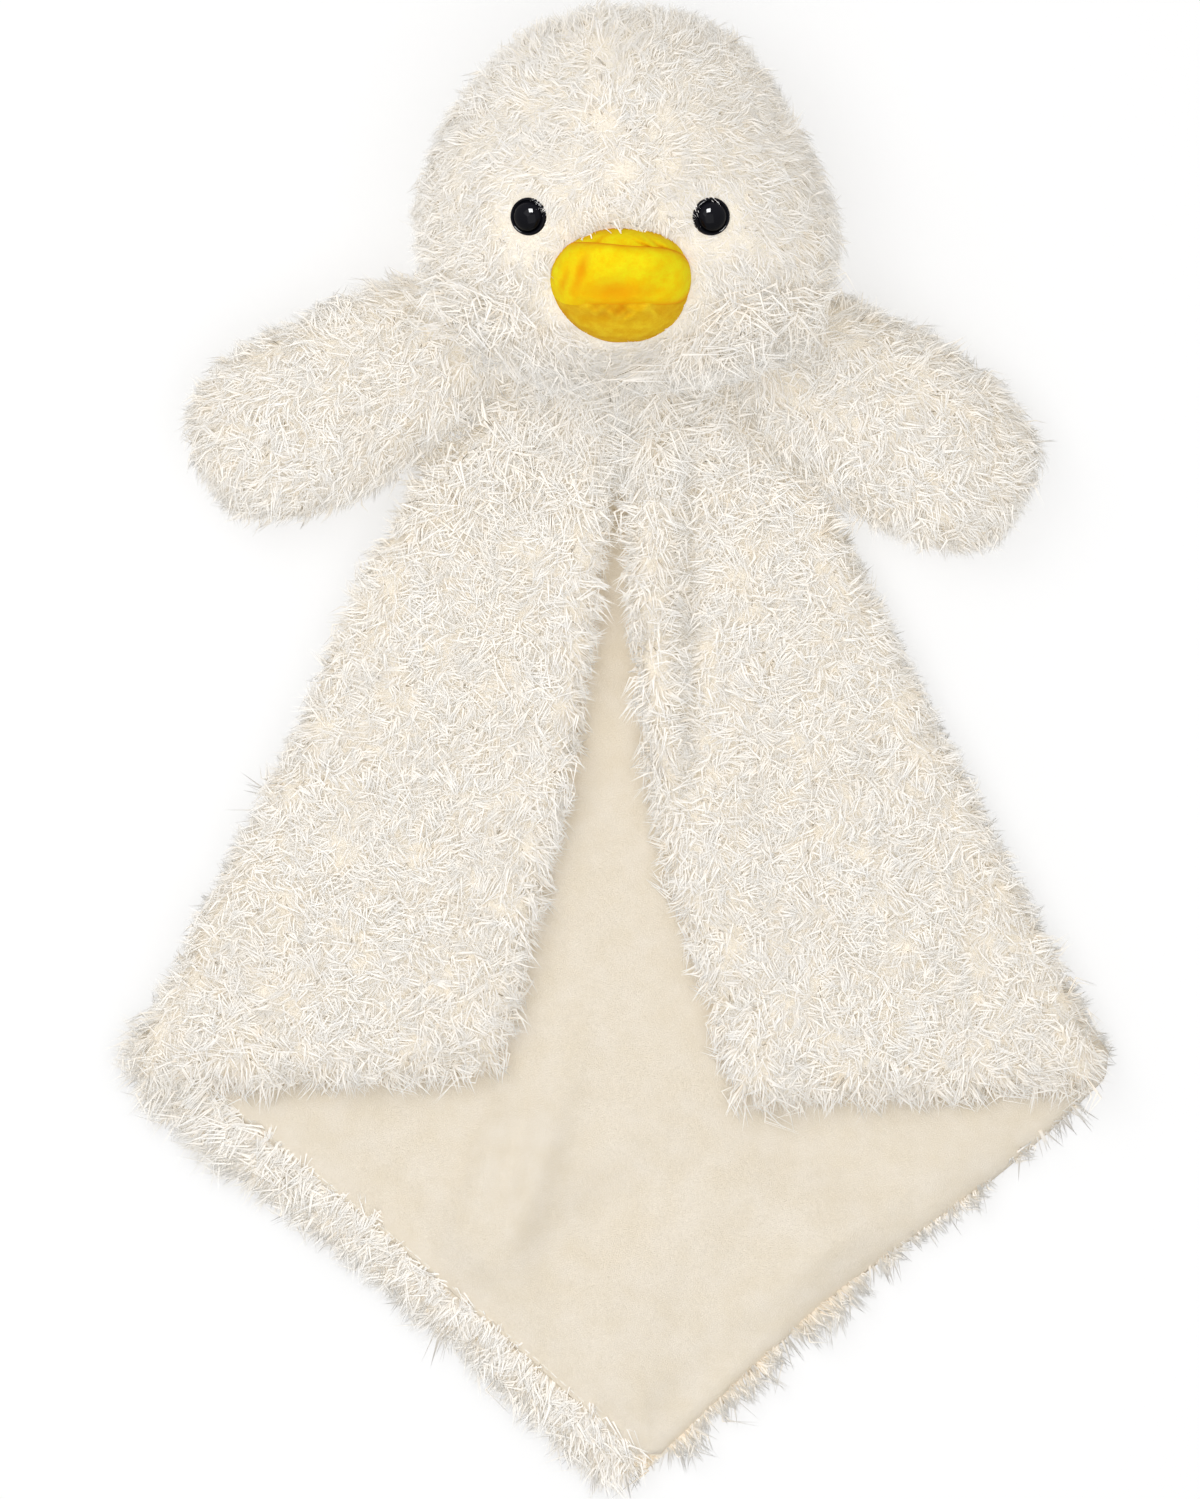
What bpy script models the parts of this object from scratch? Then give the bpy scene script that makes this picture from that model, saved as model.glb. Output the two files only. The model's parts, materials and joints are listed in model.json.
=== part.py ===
"""A comfort blanket with a duck's head and two wings, lying on its back.

+Z is up, the way the face looks. +Y runs from the tail to the crown of the head. The origin is
under the neck, on the surface that the blanket lies on. The blanket is one square of fur cloth
and lining. A corner of it is gathered at the neck, and its two sides are folded over the front.
"""

import math
from collections import namedtuple

import bmesh
import bpy
from mathutils import Matrix, Vector

MM = 0.001

# What touching pieces keep between them
GAP = 0.3 * MM
ROOM = 0.5 * MM
OVERRUN = 20 * MM

# Cloth
BACK_FUR = 7 * MM
FRONT_FUR = 8 * MM
LINING = 1.6 * MM
RIM = 5 * MM
RIM_SHARE = 0.4
LINING_INSET = 2.5 * MM

# The blanket's outline, seen from above
NECK_Y = 14 * MM
NECK_HALF = 30 * MM
SHOULDER_Y = -10 * MM
SHOULDER_HALF = 44 * MM
ARMPIT_Y = -27 * MM
ARMPIT_HALF = 60 * MM
LEFT_CORNER_X = 151 * MM
RIGHT_CORNER_X = 149 * MM
CORNER_Y = -204 * MM
CORNER_DROP = 8 * MM
CORNER_ROUND = 4 * MM
TIP_X = 3 * MM
TIP_Y = -338 * MM
TIP_HALF = 6 * MM
EDGE_BOW = 3 * MM
HEM = 8.5 * MM
LINING_ROLL = 1.5 * MM

# The front cloth rises to the neck
NECK_RISE = 18 * MM
NECK_REACH = 40 * MM
SLOT_HALF = 1.2 * MM
SLOT_END_Y = -42 * MM
LEFT_SLOT_X = 6.5 * MM
RIGHT_SLOT_X = 4 * MM

# One soft fold runs down the lining below the left flap
FOLD_TOP_X = -26 * MM
FOLD_TOP_Y = -222 * MM
FOLD_LEAN_SHARE = 0.33
FOLD_LENGTH = 66 * MM
FOLD_HALF = 15 * MM
FOLD_RISE = 3 * MM

# The front flaps
LEFT_FLAP_X = 40 * MM
LEFT_FLAP_Y = -209 * MM
LEFT_FLAP_BOW = 4 * MM
RIGHT_FLAP_X = 38 * MM
RIGHT_FLAP_Y = -217 * MM
RIGHT_FLAP_BOW = 8 * MM
FREE_EDGE_SHARE = 1.35
FLAP_START = 3 * MM
FLAP_SWELL = 1.5 * MM
ROLL_WIDTH = 20 * MM
ROLL_RISE = 3 * MM
GROOVE_DEPTH = 2 * MM
ROLL_START_SHARE = 0.25
ROLL_END_SHARE = 0.75
ROLL_FADE_SHARE = 0.375
Side = namedtuple("Side", "name sign corner_x slot_x flap_x flap_y inner_bow rolled droop")
LEFT_DROOP = math.radians(24)
RIGHT_DROOP = math.radians(36)
SIDES = (
    Side("left", -1, LEFT_CORNER_X, LEFT_SLOT_X, LEFT_FLAP_X, LEFT_FLAP_Y, LEFT_FLAP_BOW, False,
         LEFT_DROOP),
    Side("right", 1, RIGHT_CORNER_X, RIGHT_SLOT_X, RIGHT_FLAP_X, RIGHT_FLAP_Y, RIGHT_FLAP_BOW, True,
         RIGHT_DROOP),
)

# The head
HEAD_WIDTH = 128 * MM
HEAD_HEIGHT = 109 * MM
HEAD_DEPTH = 86 * MM
HEAD_X = 2.5 * MM
HEAD_FOOT_Y = 10.5 * MM
HEAD_LIFT = 0.5 * MM
HEAD_FULL_SHARE = 0.8
CHEEK_SHARE = 0.2
SKIN = 3 * MM
NOD_Y = 6 * MM
NOD_Z = 36 * MM

# The eyes
EYE_SPREAD = 28.3 * MM
EYE_LEVEL_SHARE = 0.425
EYE_RADIUS = 6 * MM
EYE_DOME = 4.2 * MM
EYE_RIM = 0.9 * MM
EYE_RIM_HEIGHT = 1.3 * MM
SHANK_RADIUS = 1.8 * MM
SHANK_LENGTH = 10 * MM
WASHER_RADIUS = 7 * MM
WASHER_DEPTH = 1.5 * MM
WASHER_SEAT = 5 * MM

# The beak
BEAK_CLOTH = 1.2 * MM
BEAK_X = 0.3 * MM
BILL_WIDTH = 43 * MM
BILL_HEIGHT = 20 * MM
BILL_DEPTH = 44 * MM
BILL_SINK = 4 * MM
Bill = namedtuple("Bill", "level_share width_share height_share depth_share")
UPPER_BILL = Bill(0.252, 1, 1, 1)
LOWER_BILL = Bill(0.165, 0.884, 1.1, 0.8)
BRIDGE = Bill(0.321, 0.814, 0.8, 0.75)

# The wings
WING_LENGTH = 103 * MM
WING_HALF = 26.5 * MM
WING_THICK = 34 * MM
WING_ROOT_X = 38.5 * MM
WING_ROOT_Y = 25 * MM
WING_HINGE = 20 * MM
WING_BROAD_SHARE = 0.15
WING_FULL_SHARE = 0.6
WING_LIFT = 0.5 * MM
WING_SWING_ROOM = 1.2 * MM

# The gathered corner in the neck
GATHER_HALF = 44 * MM
GATHER_REACH = 18 * MM
GATHER_THICK = 34 * MM
GATHER_Y = 20 * MM
PAD_HALF = 20 * MM
PAD_DEPTH = 26 * MM
PAD_SHARE = 0.85

# Colours in linear values, with a roughness
FUR = ((0.83, 0.78, 0.70), 0.9)
VELOUR = ((0.84, 0.76, 0.63), 0.85)
YELLOW_PLUSH = ((0.93, 0.62, 0.015), 0.8)
BLACK_PLASTIC = ((0.012, 0.011, 0.011), 0.12)
WHITE_PLASTIC = ((0.75, 0.75, 0.73), 0.4)
FIBRE = ((0.88, 0.88, 0.86), 1.0)

# How finely round shapes are faceted: steps round, and rings from pole to pole
SHARP_TURN = math.radians(40)
HEAD_FACETS = (24, 16)
WING_FACETS = (16, 12)
BILL_FACETS = (14, 10)
GATHER_FACETS = (20, 14)
EYE_STEPS = 16
DOME_STEPS = 5
WELD = 0.03 * MM

BACK_LINING_LOW = BACK_FUR + GAP
FRONT_LINING_LOW = BACK_LINING_LOW + LINING + GAP
FRONT_FUR_LOW = FRONT_LINING_LOW + LINING + GAP
FRONT_TOP = FRONT_FUR_LOW + FRONT_FUR
HEAD_Y = HEAD_FOOT_Y + HEAD_HEIGHT / 2
HEAD_Z = HEAD_LIFT + HEAD_DEPTH / 2
EYE_Y = HEAD_FOOT_Y + HEAD_HEIGHT * EYE_LEVEL_SHARE
WING_Z = WING_LIFT + WING_THICK / 2


def clear_scene():
    for old in list(bpy.data.objects):
        bpy.data.objects.remove(old, do_unlink=True)


def material(name, finish):
    colour, roughness = finish
    made = bpy.data.materials.new(name)
    made.use_nodes = True
    shader = made.node_tree.nodes["Principled BSDF"]
    shader.inputs["Base Color"].default_value = (*colour, 1)
    shader.inputs["Roughness"].default_value = roughness
    shader.inputs["Metallic"].default_value = 0
    return made


def add_object(name, mesh, finish=None, smooth=True):
    """Turn a bmesh into an object. Without a finish it is a cutter, which isn't a piece."""
    bmesh.ops.recalc_face_normals(mesh, faces=mesh.faces[:])
    if mesh.calc_volume(signed=True) < 0:
        bmesh.ops.reverse_faces(mesh, faces=mesh.faces[:])
    data = bpy.data.meshes.new(name)
    mesh.to_mesh(data)
    mesh.free()
    made = bpy.data.objects.new(name, data)
    bpy.context.collection.objects.link(made)
    if finish is None:
        made.hide_render = True
        made.display_type = "WIRE"
    else:
        data.materials.append(material(name, finish))
    if smooth:
        data.shade_smooth()
        data.set_sharp_from_angle(angle=SHARP_TURN)
    return made


def cut(piece, cutter):
    """Take a cutter's shape out of a piece."""
    modifier = piece.modifiers.new("cut by " + cutter.name, "BOOLEAN")
    modifier.operation = "DIFFERENCE"
    modifier.solver = "EXACT"
    modifier.object = cutter


def joint(name, place, axis):
    """An empty on a joint's axis, with its own X along the axis."""
    empty = bpy.data.objects.new(name, None)
    empty.empty_display_size = RIM
    bpy.context.collection.objects.link(empty)
    empty.matrix_world = Matrix.Translation(place) @ axis.to_track_quat("X", "Z").to_matrix().to_4x4()
    return empty


def hang(piece, empty):
    """Give a piece the joint's origin, and leave it where it is."""
    piece.data.transform(empty.matrix_world.inverted())
    piece.parent = empty


def smooth_step(share):
    share = min(max(share, 0), 1)
    return share * share * (3 - 2 * share)


def mix(start, end, share):
    return start + (end - start) * share


def ladder(rungs, steps):
    """Rows between two edges: each rung is a pair of points, with some steps to the next rung."""
    rows = [rungs[0]]
    for (start, end), count in zip(zip(rungs, rungs[1:]), steps):
        for step in range(1, count + 1):
            share = step / count
            rows.append((start[0].lerp(end[0], share), start[1].lerp(end[1], share)))
    return rows


# Blanket


def neck_rise(x, y):
    """How far the front cloth is lifted where it climbs to the neck."""
    reach = math.hypot(x, y - NECK_Y) / NECK_REACH
    return NECK_RISE * smooth_step(1 - reach)


def lining_fold(x, y):
    """The height of the soft fold in the lining of the tail, which stands hollow over the fur."""
    along = (FOLD_TOP_Y - y) / FOLD_LENGTH
    if not 0 < along < 1:
        return 0
    across = (x - FOLD_TOP_X - FOLD_LEAN_SHARE * (y - FOLD_TOP_Y)) / FOLD_HALF
    return FOLD_RISE * math.sin(math.pi * along) * math.exp(-across * across)


def flat(height):
    return lambda x, y: height


def panel(name, rows, columns, low, high, finish, rims=(), rounded="top"):
    """A cloth laid over a ladder of rows. Column 0 is on each row's first point.

    rims names the edges that are rounded: first, last, start and end.
    """
    mesh = bmesh.new()
    count = len(columns)
    bmesh.ops.create_grid(mesh, x_segments=count - 1, y_segments=len(rows) - 1, size=1)
    place = mesh.verts.layers.int.new("place")
    for index, vert in enumerate(mesh.verts):
        vert[place] = index
    made = bmesh.ops.extrude_face_region(mesh, geom=mesh.faces[:])
    upper = {item for item in made["geom"] if isinstance(item, bmesh.types.BMVert)}
    for vert in mesh.verts:
        row, column = divmod(vert[place], count)
        first, last = rows[row]
        point = first.lerp(last, columns[column](first, last))
        edges = {"first": column == 0, "last": column == count - 1,
                 "start": row == 0, "end": row == len(rows) - 1}
        bottom, top = low(point.x, point.y), high(point.x, point.y)
        if any(edges[edge] for edge in rims):
            if rounded == "top":
                top = mix(bottom, top, RIM_SHARE)
            else:
                bottom = mix(top, bottom, RIM_SHARE)
        vert.co = (point.x, point.y, top if vert in upper else bottom)
    return add_object(name, mesh, finish)


def even_columns(count, rim_first, rim_last):
    """Column places, as functions of a row's ends: even, with a narrow column at a rounded rim."""
    def place(index):
        def share(first, last):
            width = (last - first).length
            start = min(RIM / width, 1 / count) if rim_first else 0
            end = 1 - (min(RIM / width, 1 / count) if rim_last else 0)
            return mix(start, end, index / count)
        return share
    places = [place(index) for index in range(count + 1)]
    if rim_first:
        places.insert(0, lambda first, last: 0)
    if rim_last:
        places.append(lambda first, last: 1)
    return places


def back_rows(left_inset, right_inset):
    """The back's rows from the neck to the tail. The insets move the two lower edges inwards."""
    left, right = SIDES
    rungs = []
    for y, half in ((NECK_Y, NECK_HALF), (SHOULDER_Y, SHOULDER_HALF), (ARMPIT_Y, ARMPIT_HALF)):
        rungs.append((Vector((-half, y, 0)), Vector((half, y, 0))))
    rungs.append((Vector((-left.corner_x, CORNER_Y, 0)), Vector((right.corner_x, CORNER_Y, 0))))
    low_y = CORNER_Y - CORNER_DROP
    rungs.append((Vector((-left.corner_x + CORNER_ROUND + left_inset, low_y, 0)),
                  Vector((right.corner_x - CORNER_ROUND - right_inset, low_y, 0))))
    tip_y = TIP_Y + max(left_inset, right_inset)
    rungs.append((Vector((TIP_X - TIP_HALF + left_inset / 2, tip_y, 0)),
                  Vector((TIP_X + TIP_HALF + max(left_inset / 2, 0), tip_y, 0))))
    steps = (1, 1, 8, 1, 9)
    rows = ladder(rungs, steps)
    tail_rows = steps[-1]
    for step in range(1, tail_rows):
        bow = EDGE_BOW * math.sin(math.pi * step / tail_rows)
        rows[-1 - step][0].x += bow
        rows[-1 - step][1].x -= bow
    return rows


def make_back():
    def lining_low(x, y):
        return BACK_LINING_LOW + lining_fold(x, y)

    def lining_high(x, y):
        return lining_low(x, y) + LINING

    panel("back_fur", back_rows(0, 0), even_columns(12, True, True), flat(0), flat(BACK_FUR), FUR,
          rims=("first", "last", "end"), rounded="bottom")
    panel("back_lining", back_rows(HEM, -LINING_ROLL), even_columns(14, False, False),
          lining_low, lining_high, VELOUR)


def fold_line(side):
    """The line along which a flap turns back, from the neck's slot to the outer corner."""
    start = Vector((side.sign * side.slot_x, SLOT_END_Y, 0))
    end = Vector((side.sign * (side.corner_x - CORNER_ROUND), CORNER_Y - CORNER_DROP, 0))
    return start, end


def front_height(base):
    return lambda x, y: base + neck_rise(x, y)


def make_shoulder(side):
    """The strip between the outer fold and the line on which the flap turns. It stays put."""
    sign = side.sign
    hinge_start, hinge_end = fold_line(side)
    along = (hinge_end - hinge_start).normalized()
    outward = Vector((-along.y, along.x, 0)) * sign
    clear = outward * GAP / 2
    armpit = Vector((sign * ARMPIT_HALF, ARMPIT_Y, 0))
    corner = Vector((sign * side.corner_x, CORNER_Y, 0))
    outer = [Vector((sign * NECK_HALF, NECK_Y, 0)), Vector((sign * SHOULDER_HALF, SHOULDER_Y, 0)), armpit,
             armpit.lerp(corner, (SLOT_END_Y - ARMPIT_Y) / (CORNER_Y - ARMPIT_Y)), corner]
    neck_inner = Vector((sign * SLOT_HALF, NECK_Y, 0))
    hinge_inner = hinge_start + clear
    inner = [neck_inner.lerp(hinge_inner, (NECK_Y - point.y) / (NECK_Y - SLOT_END_Y)) for point in outer[:-2]]
    inner += [hinge_inner, hinge_end + clear]
    rows = ladder(list(zip(outer, inner)), (3, 2, 2, 8))
    pieces = []
    for part, base, depth, finish in (("lining", FRONT_LINING_LOW, LINING, VELOUR),
                                      ("fur", FRONT_FUR_LOW, FRONT_FUR, FUR)):
        rims = ("first",) if part == "fur" else ()
        pieces.append(panel(f"{side.name}_shoulder_{part}", rows, even_columns(5, True, False),
                            front_height(base), front_height(base + depth), finish, rims=rims))
    return pieces


def flap_rows(side, inset):
    """A flap's rows, from the neck down. The first point of a row is on the free inner edge."""
    sign = side.sign
    hinge_start, hinge_end = fold_line(side)
    along = (hinge_end - hinge_start).normalized()
    inward = Vector((along.y, -along.x, 0)) * sign
    clear = inward * GAP / 2
    top_free = hinge_start + Vector((0, -FLAP_START - inset, 0)) + clear
    low_free = Vector((sign * (side.flap_x + inset), side.flap_y + inset, 0))
    top_fixed = hinge_start + along * (FLAP_START + inset) / 2 + clear
    low_fixed = hinge_end - along * inset + clear
    rim = RIM / (low_free - top_free).length
    count = 11
    shares = [mix(0, 1 - rim, step / count) for step in range(count + 1)] + [1]
    rows = []
    for share in shares:
        free = top_free.lerp(low_free, share)
        free.x -= sign * side.inner_bow * math.sin(math.pi * share)
        rows.append((free, top_fixed.lerp(low_fixed, share)))
    return rows


def flap_columns(rim):
    """Columns that are close together at the free edge, where the cloth is rounded and rolled."""
    count = 9
    places = [lambda first, last, step=step: (step / count) ** FREE_EDGE_SHARE for step in range(count + 1)]
    if rim:
        places[1] = lambda first, last: min(RIM / (last - first).length, 1 / (2 * count))
    return places


def flap_height(side, base, swell):
    """The height of a flap's cloth: it swells a little, and the right one has a rolled edge."""
    start, end = fold_line(side)
    along = (end - start).normalized()
    reach = abs((Vector((side.sign * side.flap_x, side.flap_y, 0)) - start).cross(along).z)

    def height(x, y):
        across = abs((Vector((x, y, 0)) - start).cross(along).z)
        rise = swell * math.sin(math.pi * min(across / reach, 1))
        if side.rolled:
            rise += edge_roll(side, x, y) * smooth_step(across / ROLL_WIDTH)
        return base + rise
    return height


def edge_roll(side, x, y):
    """The raised band along the inner edge, and the groove beside it."""
    start, _ = fold_line(side)
    share = (start.y - y) / (start.y - side.flap_y)
    edge = mix(side.slot_x, side.flap_x, share) - side.inner_bow * math.sin(math.pi * share)
    inward = abs(x) - edge
    fade = smooth_step((ROLL_END_SHARE - share) / ROLL_FADE_SHARE) * smooth_step(share / ROLL_START_SHARE)
    if inward < ROLL_WIDTH:
        return fade * ROLL_RISE * math.sin(math.pi * inward / ROLL_WIDTH)
    if inward < 2 * ROLL_WIDTH:
        return -fade * GROOVE_DEPTH * math.sin(math.pi * (inward / ROLL_WIDTH - 1))
    return 0


def make_flap(side):
    """A front flap, which turns back about a line on top of its fur."""
    start, end = fold_line(side)
    place = Vector((start.x, start.y, FRONT_TOP))
    empty = joint(f"{side.name}_flap_fold", place, (start - end) * side.sign)
    fur = panel(f"{side.name}_flap_fur", flap_rows(side, 0), flap_columns(True), flat(FRONT_FUR_LOW),
                flap_height(side, FRONT_TOP, FLAP_SWELL), FUR, rims=("first", "end"))
    lining = panel(f"{side.name}_flap_lining", flap_rows(side, LINING_INSET), flap_columns(False),
                   flat(FRONT_LINING_LOW), flat(FRONT_LINING_LOW + LINING), VELOUR)
    hang(fur, empty)
    hang(lining, empty)


# Stuffed forms


def ball(segments, rings):
    """A unit ball whose poles lie on its own Z."""
    mesh = bmesh.new()
    bmesh.ops.create_uvsphere(mesh, u_segments=segments, v_segments=rings, radius=1)
    return mesh


def keep_part(mesh, sign_x, sign_y):
    """Keep the part of a unit ball on the given sides. A sign of 0 keeps both."""
    unwanted = []
    for face in mesh.faces:
        middle = face.calc_center_median()
        if middle.x * sign_x < 0 or middle.y * sign_y < 0:
            unwanted.append(face)
    bmesh.ops.delete(mesh, geom=unwanted, context="FACES")


def shape_solid(mesh, form, shrink):
    for vert in mesh.verts:
        vert.co = form(vert.co, shrink)


def shape_skin(mesh, form, thickness, shift):
    """Give an open part of a ball its thickness, and map both of its faces to a form."""
    made = bmesh.ops.extrude_face_region(mesh, geom=mesh.faces[:])
    inner = {item for item in made["geom"] if isinstance(item, bmesh.types.BMVert)}
    for vert in mesh.verts:
        vert.co = form(vert.co, thickness if vert in inner else 0) + shift


def pole_angles(direction):
    """The share along the poles, the swell there, and the unit ring direction."""
    along = min(max(direction.z, -1), 1)
    across = math.sqrt(max(1 - along * along, 0))
    ring = (direction.x / across, direction.y / across) if across else (0, 0)
    return along, across, ring


def cheek_swell(along, across):
    return across ** HEAD_FULL_SHARE * (1 - CHEEK_SHARE * along)


WIDEST_CHEEK = max(cheek_swell(math.cos(math.radians(turn)), math.sin(math.radians(turn)))
                   for turn in range(1, 180))


def head_form(direction, shrink):
    """The head: a narrower crown, full cheeks, its poles on Y."""
    along, across, ring = pole_angles(direction)
    width = (HEAD_WIDTH / 2 - shrink) * cheek_swell(along, across) / WIDEST_CHEEK
    depth = (HEAD_DEPTH / 2 - shrink) * across ** HEAD_FULL_SHARE
    return Vector((HEAD_X + width * ring[0], HEAD_Y + (HEAD_HEIGHT / 2 - shrink) * along,
                   HEAD_Z + depth * ring[1]))


def face_height(x, y):
    """The height of the face's surface over a point."""
    along = (y - HEAD_Y) / (HEAD_HEIGHT / 2)
    across = math.sqrt(1 - along * along)
    half_width = HEAD_WIDTH / 2 * cheek_swell(along, across) / WIDEST_CHEEK
    half_depth = HEAD_DEPTH / 2 * across ** HEAD_FULL_SHARE
    return HEAD_Z + half_depth * math.sqrt(1 - ((x - HEAD_X) / half_width) ** 2)


def face_frame(x, y):
    """A frame on the face's surface, with its Z along the outward normal."""
    step = GAP
    slope_x = (face_height(x + step, y) - face_height(x - step, y)) / (2 * step)
    slope_y = (face_height(x, y + step) - face_height(x, y - step)) / (2 * step)
    normal = Vector((-slope_x, -slope_y, 1)).normalized()
    return Matrix.Translation((x, y, face_height(x, y))) @ normal.to_track_quat("Z", "Y").to_matrix().to_4x4()


def make_head(empty):
    """Four skin panels round the filling, with holes for the eyes."""
    room = ball(*HEAD_FACETS)
    shape_solid(room, head_form, -ROOM)
    head_room = add_object("head_room", room)
    hang(head_room, empty)
    panels = {}
    for front, depth_sign in (("face", 1), ("nape", -1)):
        for hand, sign in (("left", -1), ("right", 1)):
            mesh = ball(*HEAD_FACETS)
            keep_part(mesh, sign, depth_sign)
            shift = Vector((sign * GAP / 2, 0, depth_sign * GAP / 2))
            shape_skin(mesh, head_form, SKIN, shift)
            name = f"head_{front}_{hand}"
            panels[front, hand] = add_object(name, mesh, FUR)
    filling = ball(*HEAD_FACETS)
    shape_solid(filling, head_form, SKIN + ROOM)
    stuffing = add_object("head_stuffing", filling, FIBRE)
    for hand, sign in (("left", -1), ("right", 1)):
        make_eye(hand, sign, panels["face", hand], stuffing, empty)
    for piece in (*panels.values(), stuffing):
        hang(piece, empty)
    return head_room


def spin_profile(points):
    """Turn a profile of (radius, height) points round Z. It starts and ends on the axis."""
    mesh = bmesh.new()
    verts = [mesh.verts.new((radius, 0, height)) for radius, height in points]
    edges = [mesh.edges.new(pair) for pair in zip(verts, verts[1:])]
    bmesh.ops.spin(mesh, geom=verts + edges, cent=(0, 0, 0), axis=(0, 0, 1), angle=2 * math.pi,
                   steps=EYE_STEPS, use_merge=True, use_duplicate=False)
    bmesh.ops.remove_doubles(mesh, verts=mesh.verts[:], dist=WELD)
    return mesh


def eye_profile(room):
    """The dome, its rim, and the shank behind it, grown by some room."""
    arc = [(math.sin(turn) * (EYE_RADIUS - EYE_RIM + room),
            EYE_RIM_HEIGHT + math.cos(turn) * (EYE_DOME - EYE_RIM_HEIGHT + room))
           for turn in (math.pi / 2 * step / DOME_STEPS for step in range(DOME_STEPS + 1))]
    arc[0] = (0, arc[0][1])
    rim_out = EYE_RADIUS + room
    shank = SHANK_RADIUS + room
    tail = -SHANK_LENGTH - room
    rim = [(rim_out - EYE_RIM / 2, EYE_RIM_HEIGHT + room), (rim_out, EYE_RIM_HEIGHT / 2), (rim_out, -room)]
    return arc + rim + [(shank, -room), (shank, tail), (0, tail)]


def washer_profile(room):
    """A ring round the shank, behind the cloth."""
    inner = SHANK_RADIUS + GAP - room
    outer = WASHER_RADIUS + room
    top = -WASHER_SEAT + room
    low = -WASHER_SEAT - WASHER_DEPTH - room
    return [(inner, top), (outer, top), (outer, low), (inner, low), (inner, top)]


def make_eye(hand, sign, face_panel, stuffing, empty):
    """A safety eye: its shank goes through the face's cloth into a locking washer."""
    frame = face_frame(sign * EYE_SPREAD, EYE_Y)
    eye = spin_profile(eye_profile(0))
    eye.transform(frame)
    hang(add_object(f"{hand}_eye", eye, BLACK_PLASTIC), empty)
    washer = spin_profile(washer_profile(0))
    washer.transform(frame)
    hang(add_object(f"{hand}_eye_washer", washer, WHITE_PLASTIC, smooth=False), empty)
    seat = spin_profile(eye_profile(GAP))
    seat.transform(frame)
    eye_seat = add_object(f"{hand}_eye_seat", seat)
    cut(face_panel, eye_seat)
    pocket_profile = [(0, 0), (WASHER_RADIUS + ROOM, 0), (WASHER_RADIUS + ROOM, -SHANK_LENGTH - ROOM),
                      (0, -SHANK_LENGTH - ROOM)]
    pocket = spin_profile(pocket_profile)
    pocket.transform(frame)
    eye_pocket = add_object(f"{hand}_eye_pocket", pocket)
    cut(stuffing, eye_pocket)
    for cutter in (eye_seat, eye_pocket):
        hang(cutter, empty)


# Beak


def bill_form(bill):
    """A bill part as a ball, its poles on X, that stands half out of the face."""
    y = HEAD_FOOT_Y + HEAD_HEIGHT * bill.level_share
    centre = Vector((BEAK_X, y, face_height(BEAK_X, y) - BILL_SINK))
    half_width = BILL_WIDTH * bill.width_share / 2
    half_height = BILL_HEIGHT * bill.height_share / 2
    half_depth = BILL_DEPTH * bill.depth_share / 2

    def form(direction, shrink):
        return centre + Vector((direction.z * (half_width - shrink), direction.x * (half_height - shrink),
                                direction.y * (half_depth - shrink)))
    return form


def bill_solid(name, bill, shrink, finish=None):
    mesh = ball(*BILL_FACETS)
    shape_solid(mesh, bill_form(bill), shrink)
    return add_object(name, mesh, finish)


def make_beak(empty, head_room):
    """The bridge, the upper bill and the lower lip, each open at the back over its filling."""
    upper_room = bill_solid("upper_bill_room", UPPER_BILL, -ROOM)
    pieces = [upper_room]
    for name, bill in (("upper", UPPER_BILL), ("lower", LOWER_BILL)):
        cover = bill_solid(f"beak_{name}", bill, 0, YELLOW_PLUSH)
        hollow = bill_solid(f"{name}_bill_hollow", bill, BEAK_CLOTH)
        filling = bill_solid(f"beak_{name}_stuffing", bill, BEAK_CLOTH + ROOM, FIBRE)
        cut(cover, hollow)
        for piece in (cover, filling):
            cut(piece, head_room)
            if bill is not UPPER_BILL:
                cut(piece, upper_room)
        pieces += [cover, hollow, filling]
    bridge = bill_solid("beak_bridge", BRIDGE, 0, YELLOW_PLUSH)
    cut(bridge, head_room)
    cut(bridge, upper_room)
    pieces.append(bridge)
    for piece in pieces:
        hang(piece, empty)


# Wings


def wing_frame(side):
    """The wing's own frame: X along the wing from its root, Z up."""
    turn = math.pi + side.droop if side.sign < 0 else -side.droop
    place = Vector((side.sign * WING_ROOT_X, WING_ROOT_Y, WING_Z))
    return Matrix.Translation(place) @ Matrix.Rotation(turn, 4, "Z")


def wing_swell(along, across):
    return across ** WING_FULL_SHARE * (1 + WING_BROAD_SHARE * along)


def wing_form(frame):
    """A wing: narrow where it is sewn in, broad and round at its end, its poles along it."""
    def form(direction, shrink):
        along, across, ring = pole_angles(direction)
        swell = wing_swell(along, across)
        return frame @ Vector((WING_LENGTH / 2 + (WING_LENGTH / 2 - shrink) * along,
                               (WING_HALF - shrink) * swell * ring[0],
                               (WING_THICK / 2 - shrink) * swell / (1 + WING_BROAD_SHARE / 2) * ring[1]))
    return form


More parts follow.
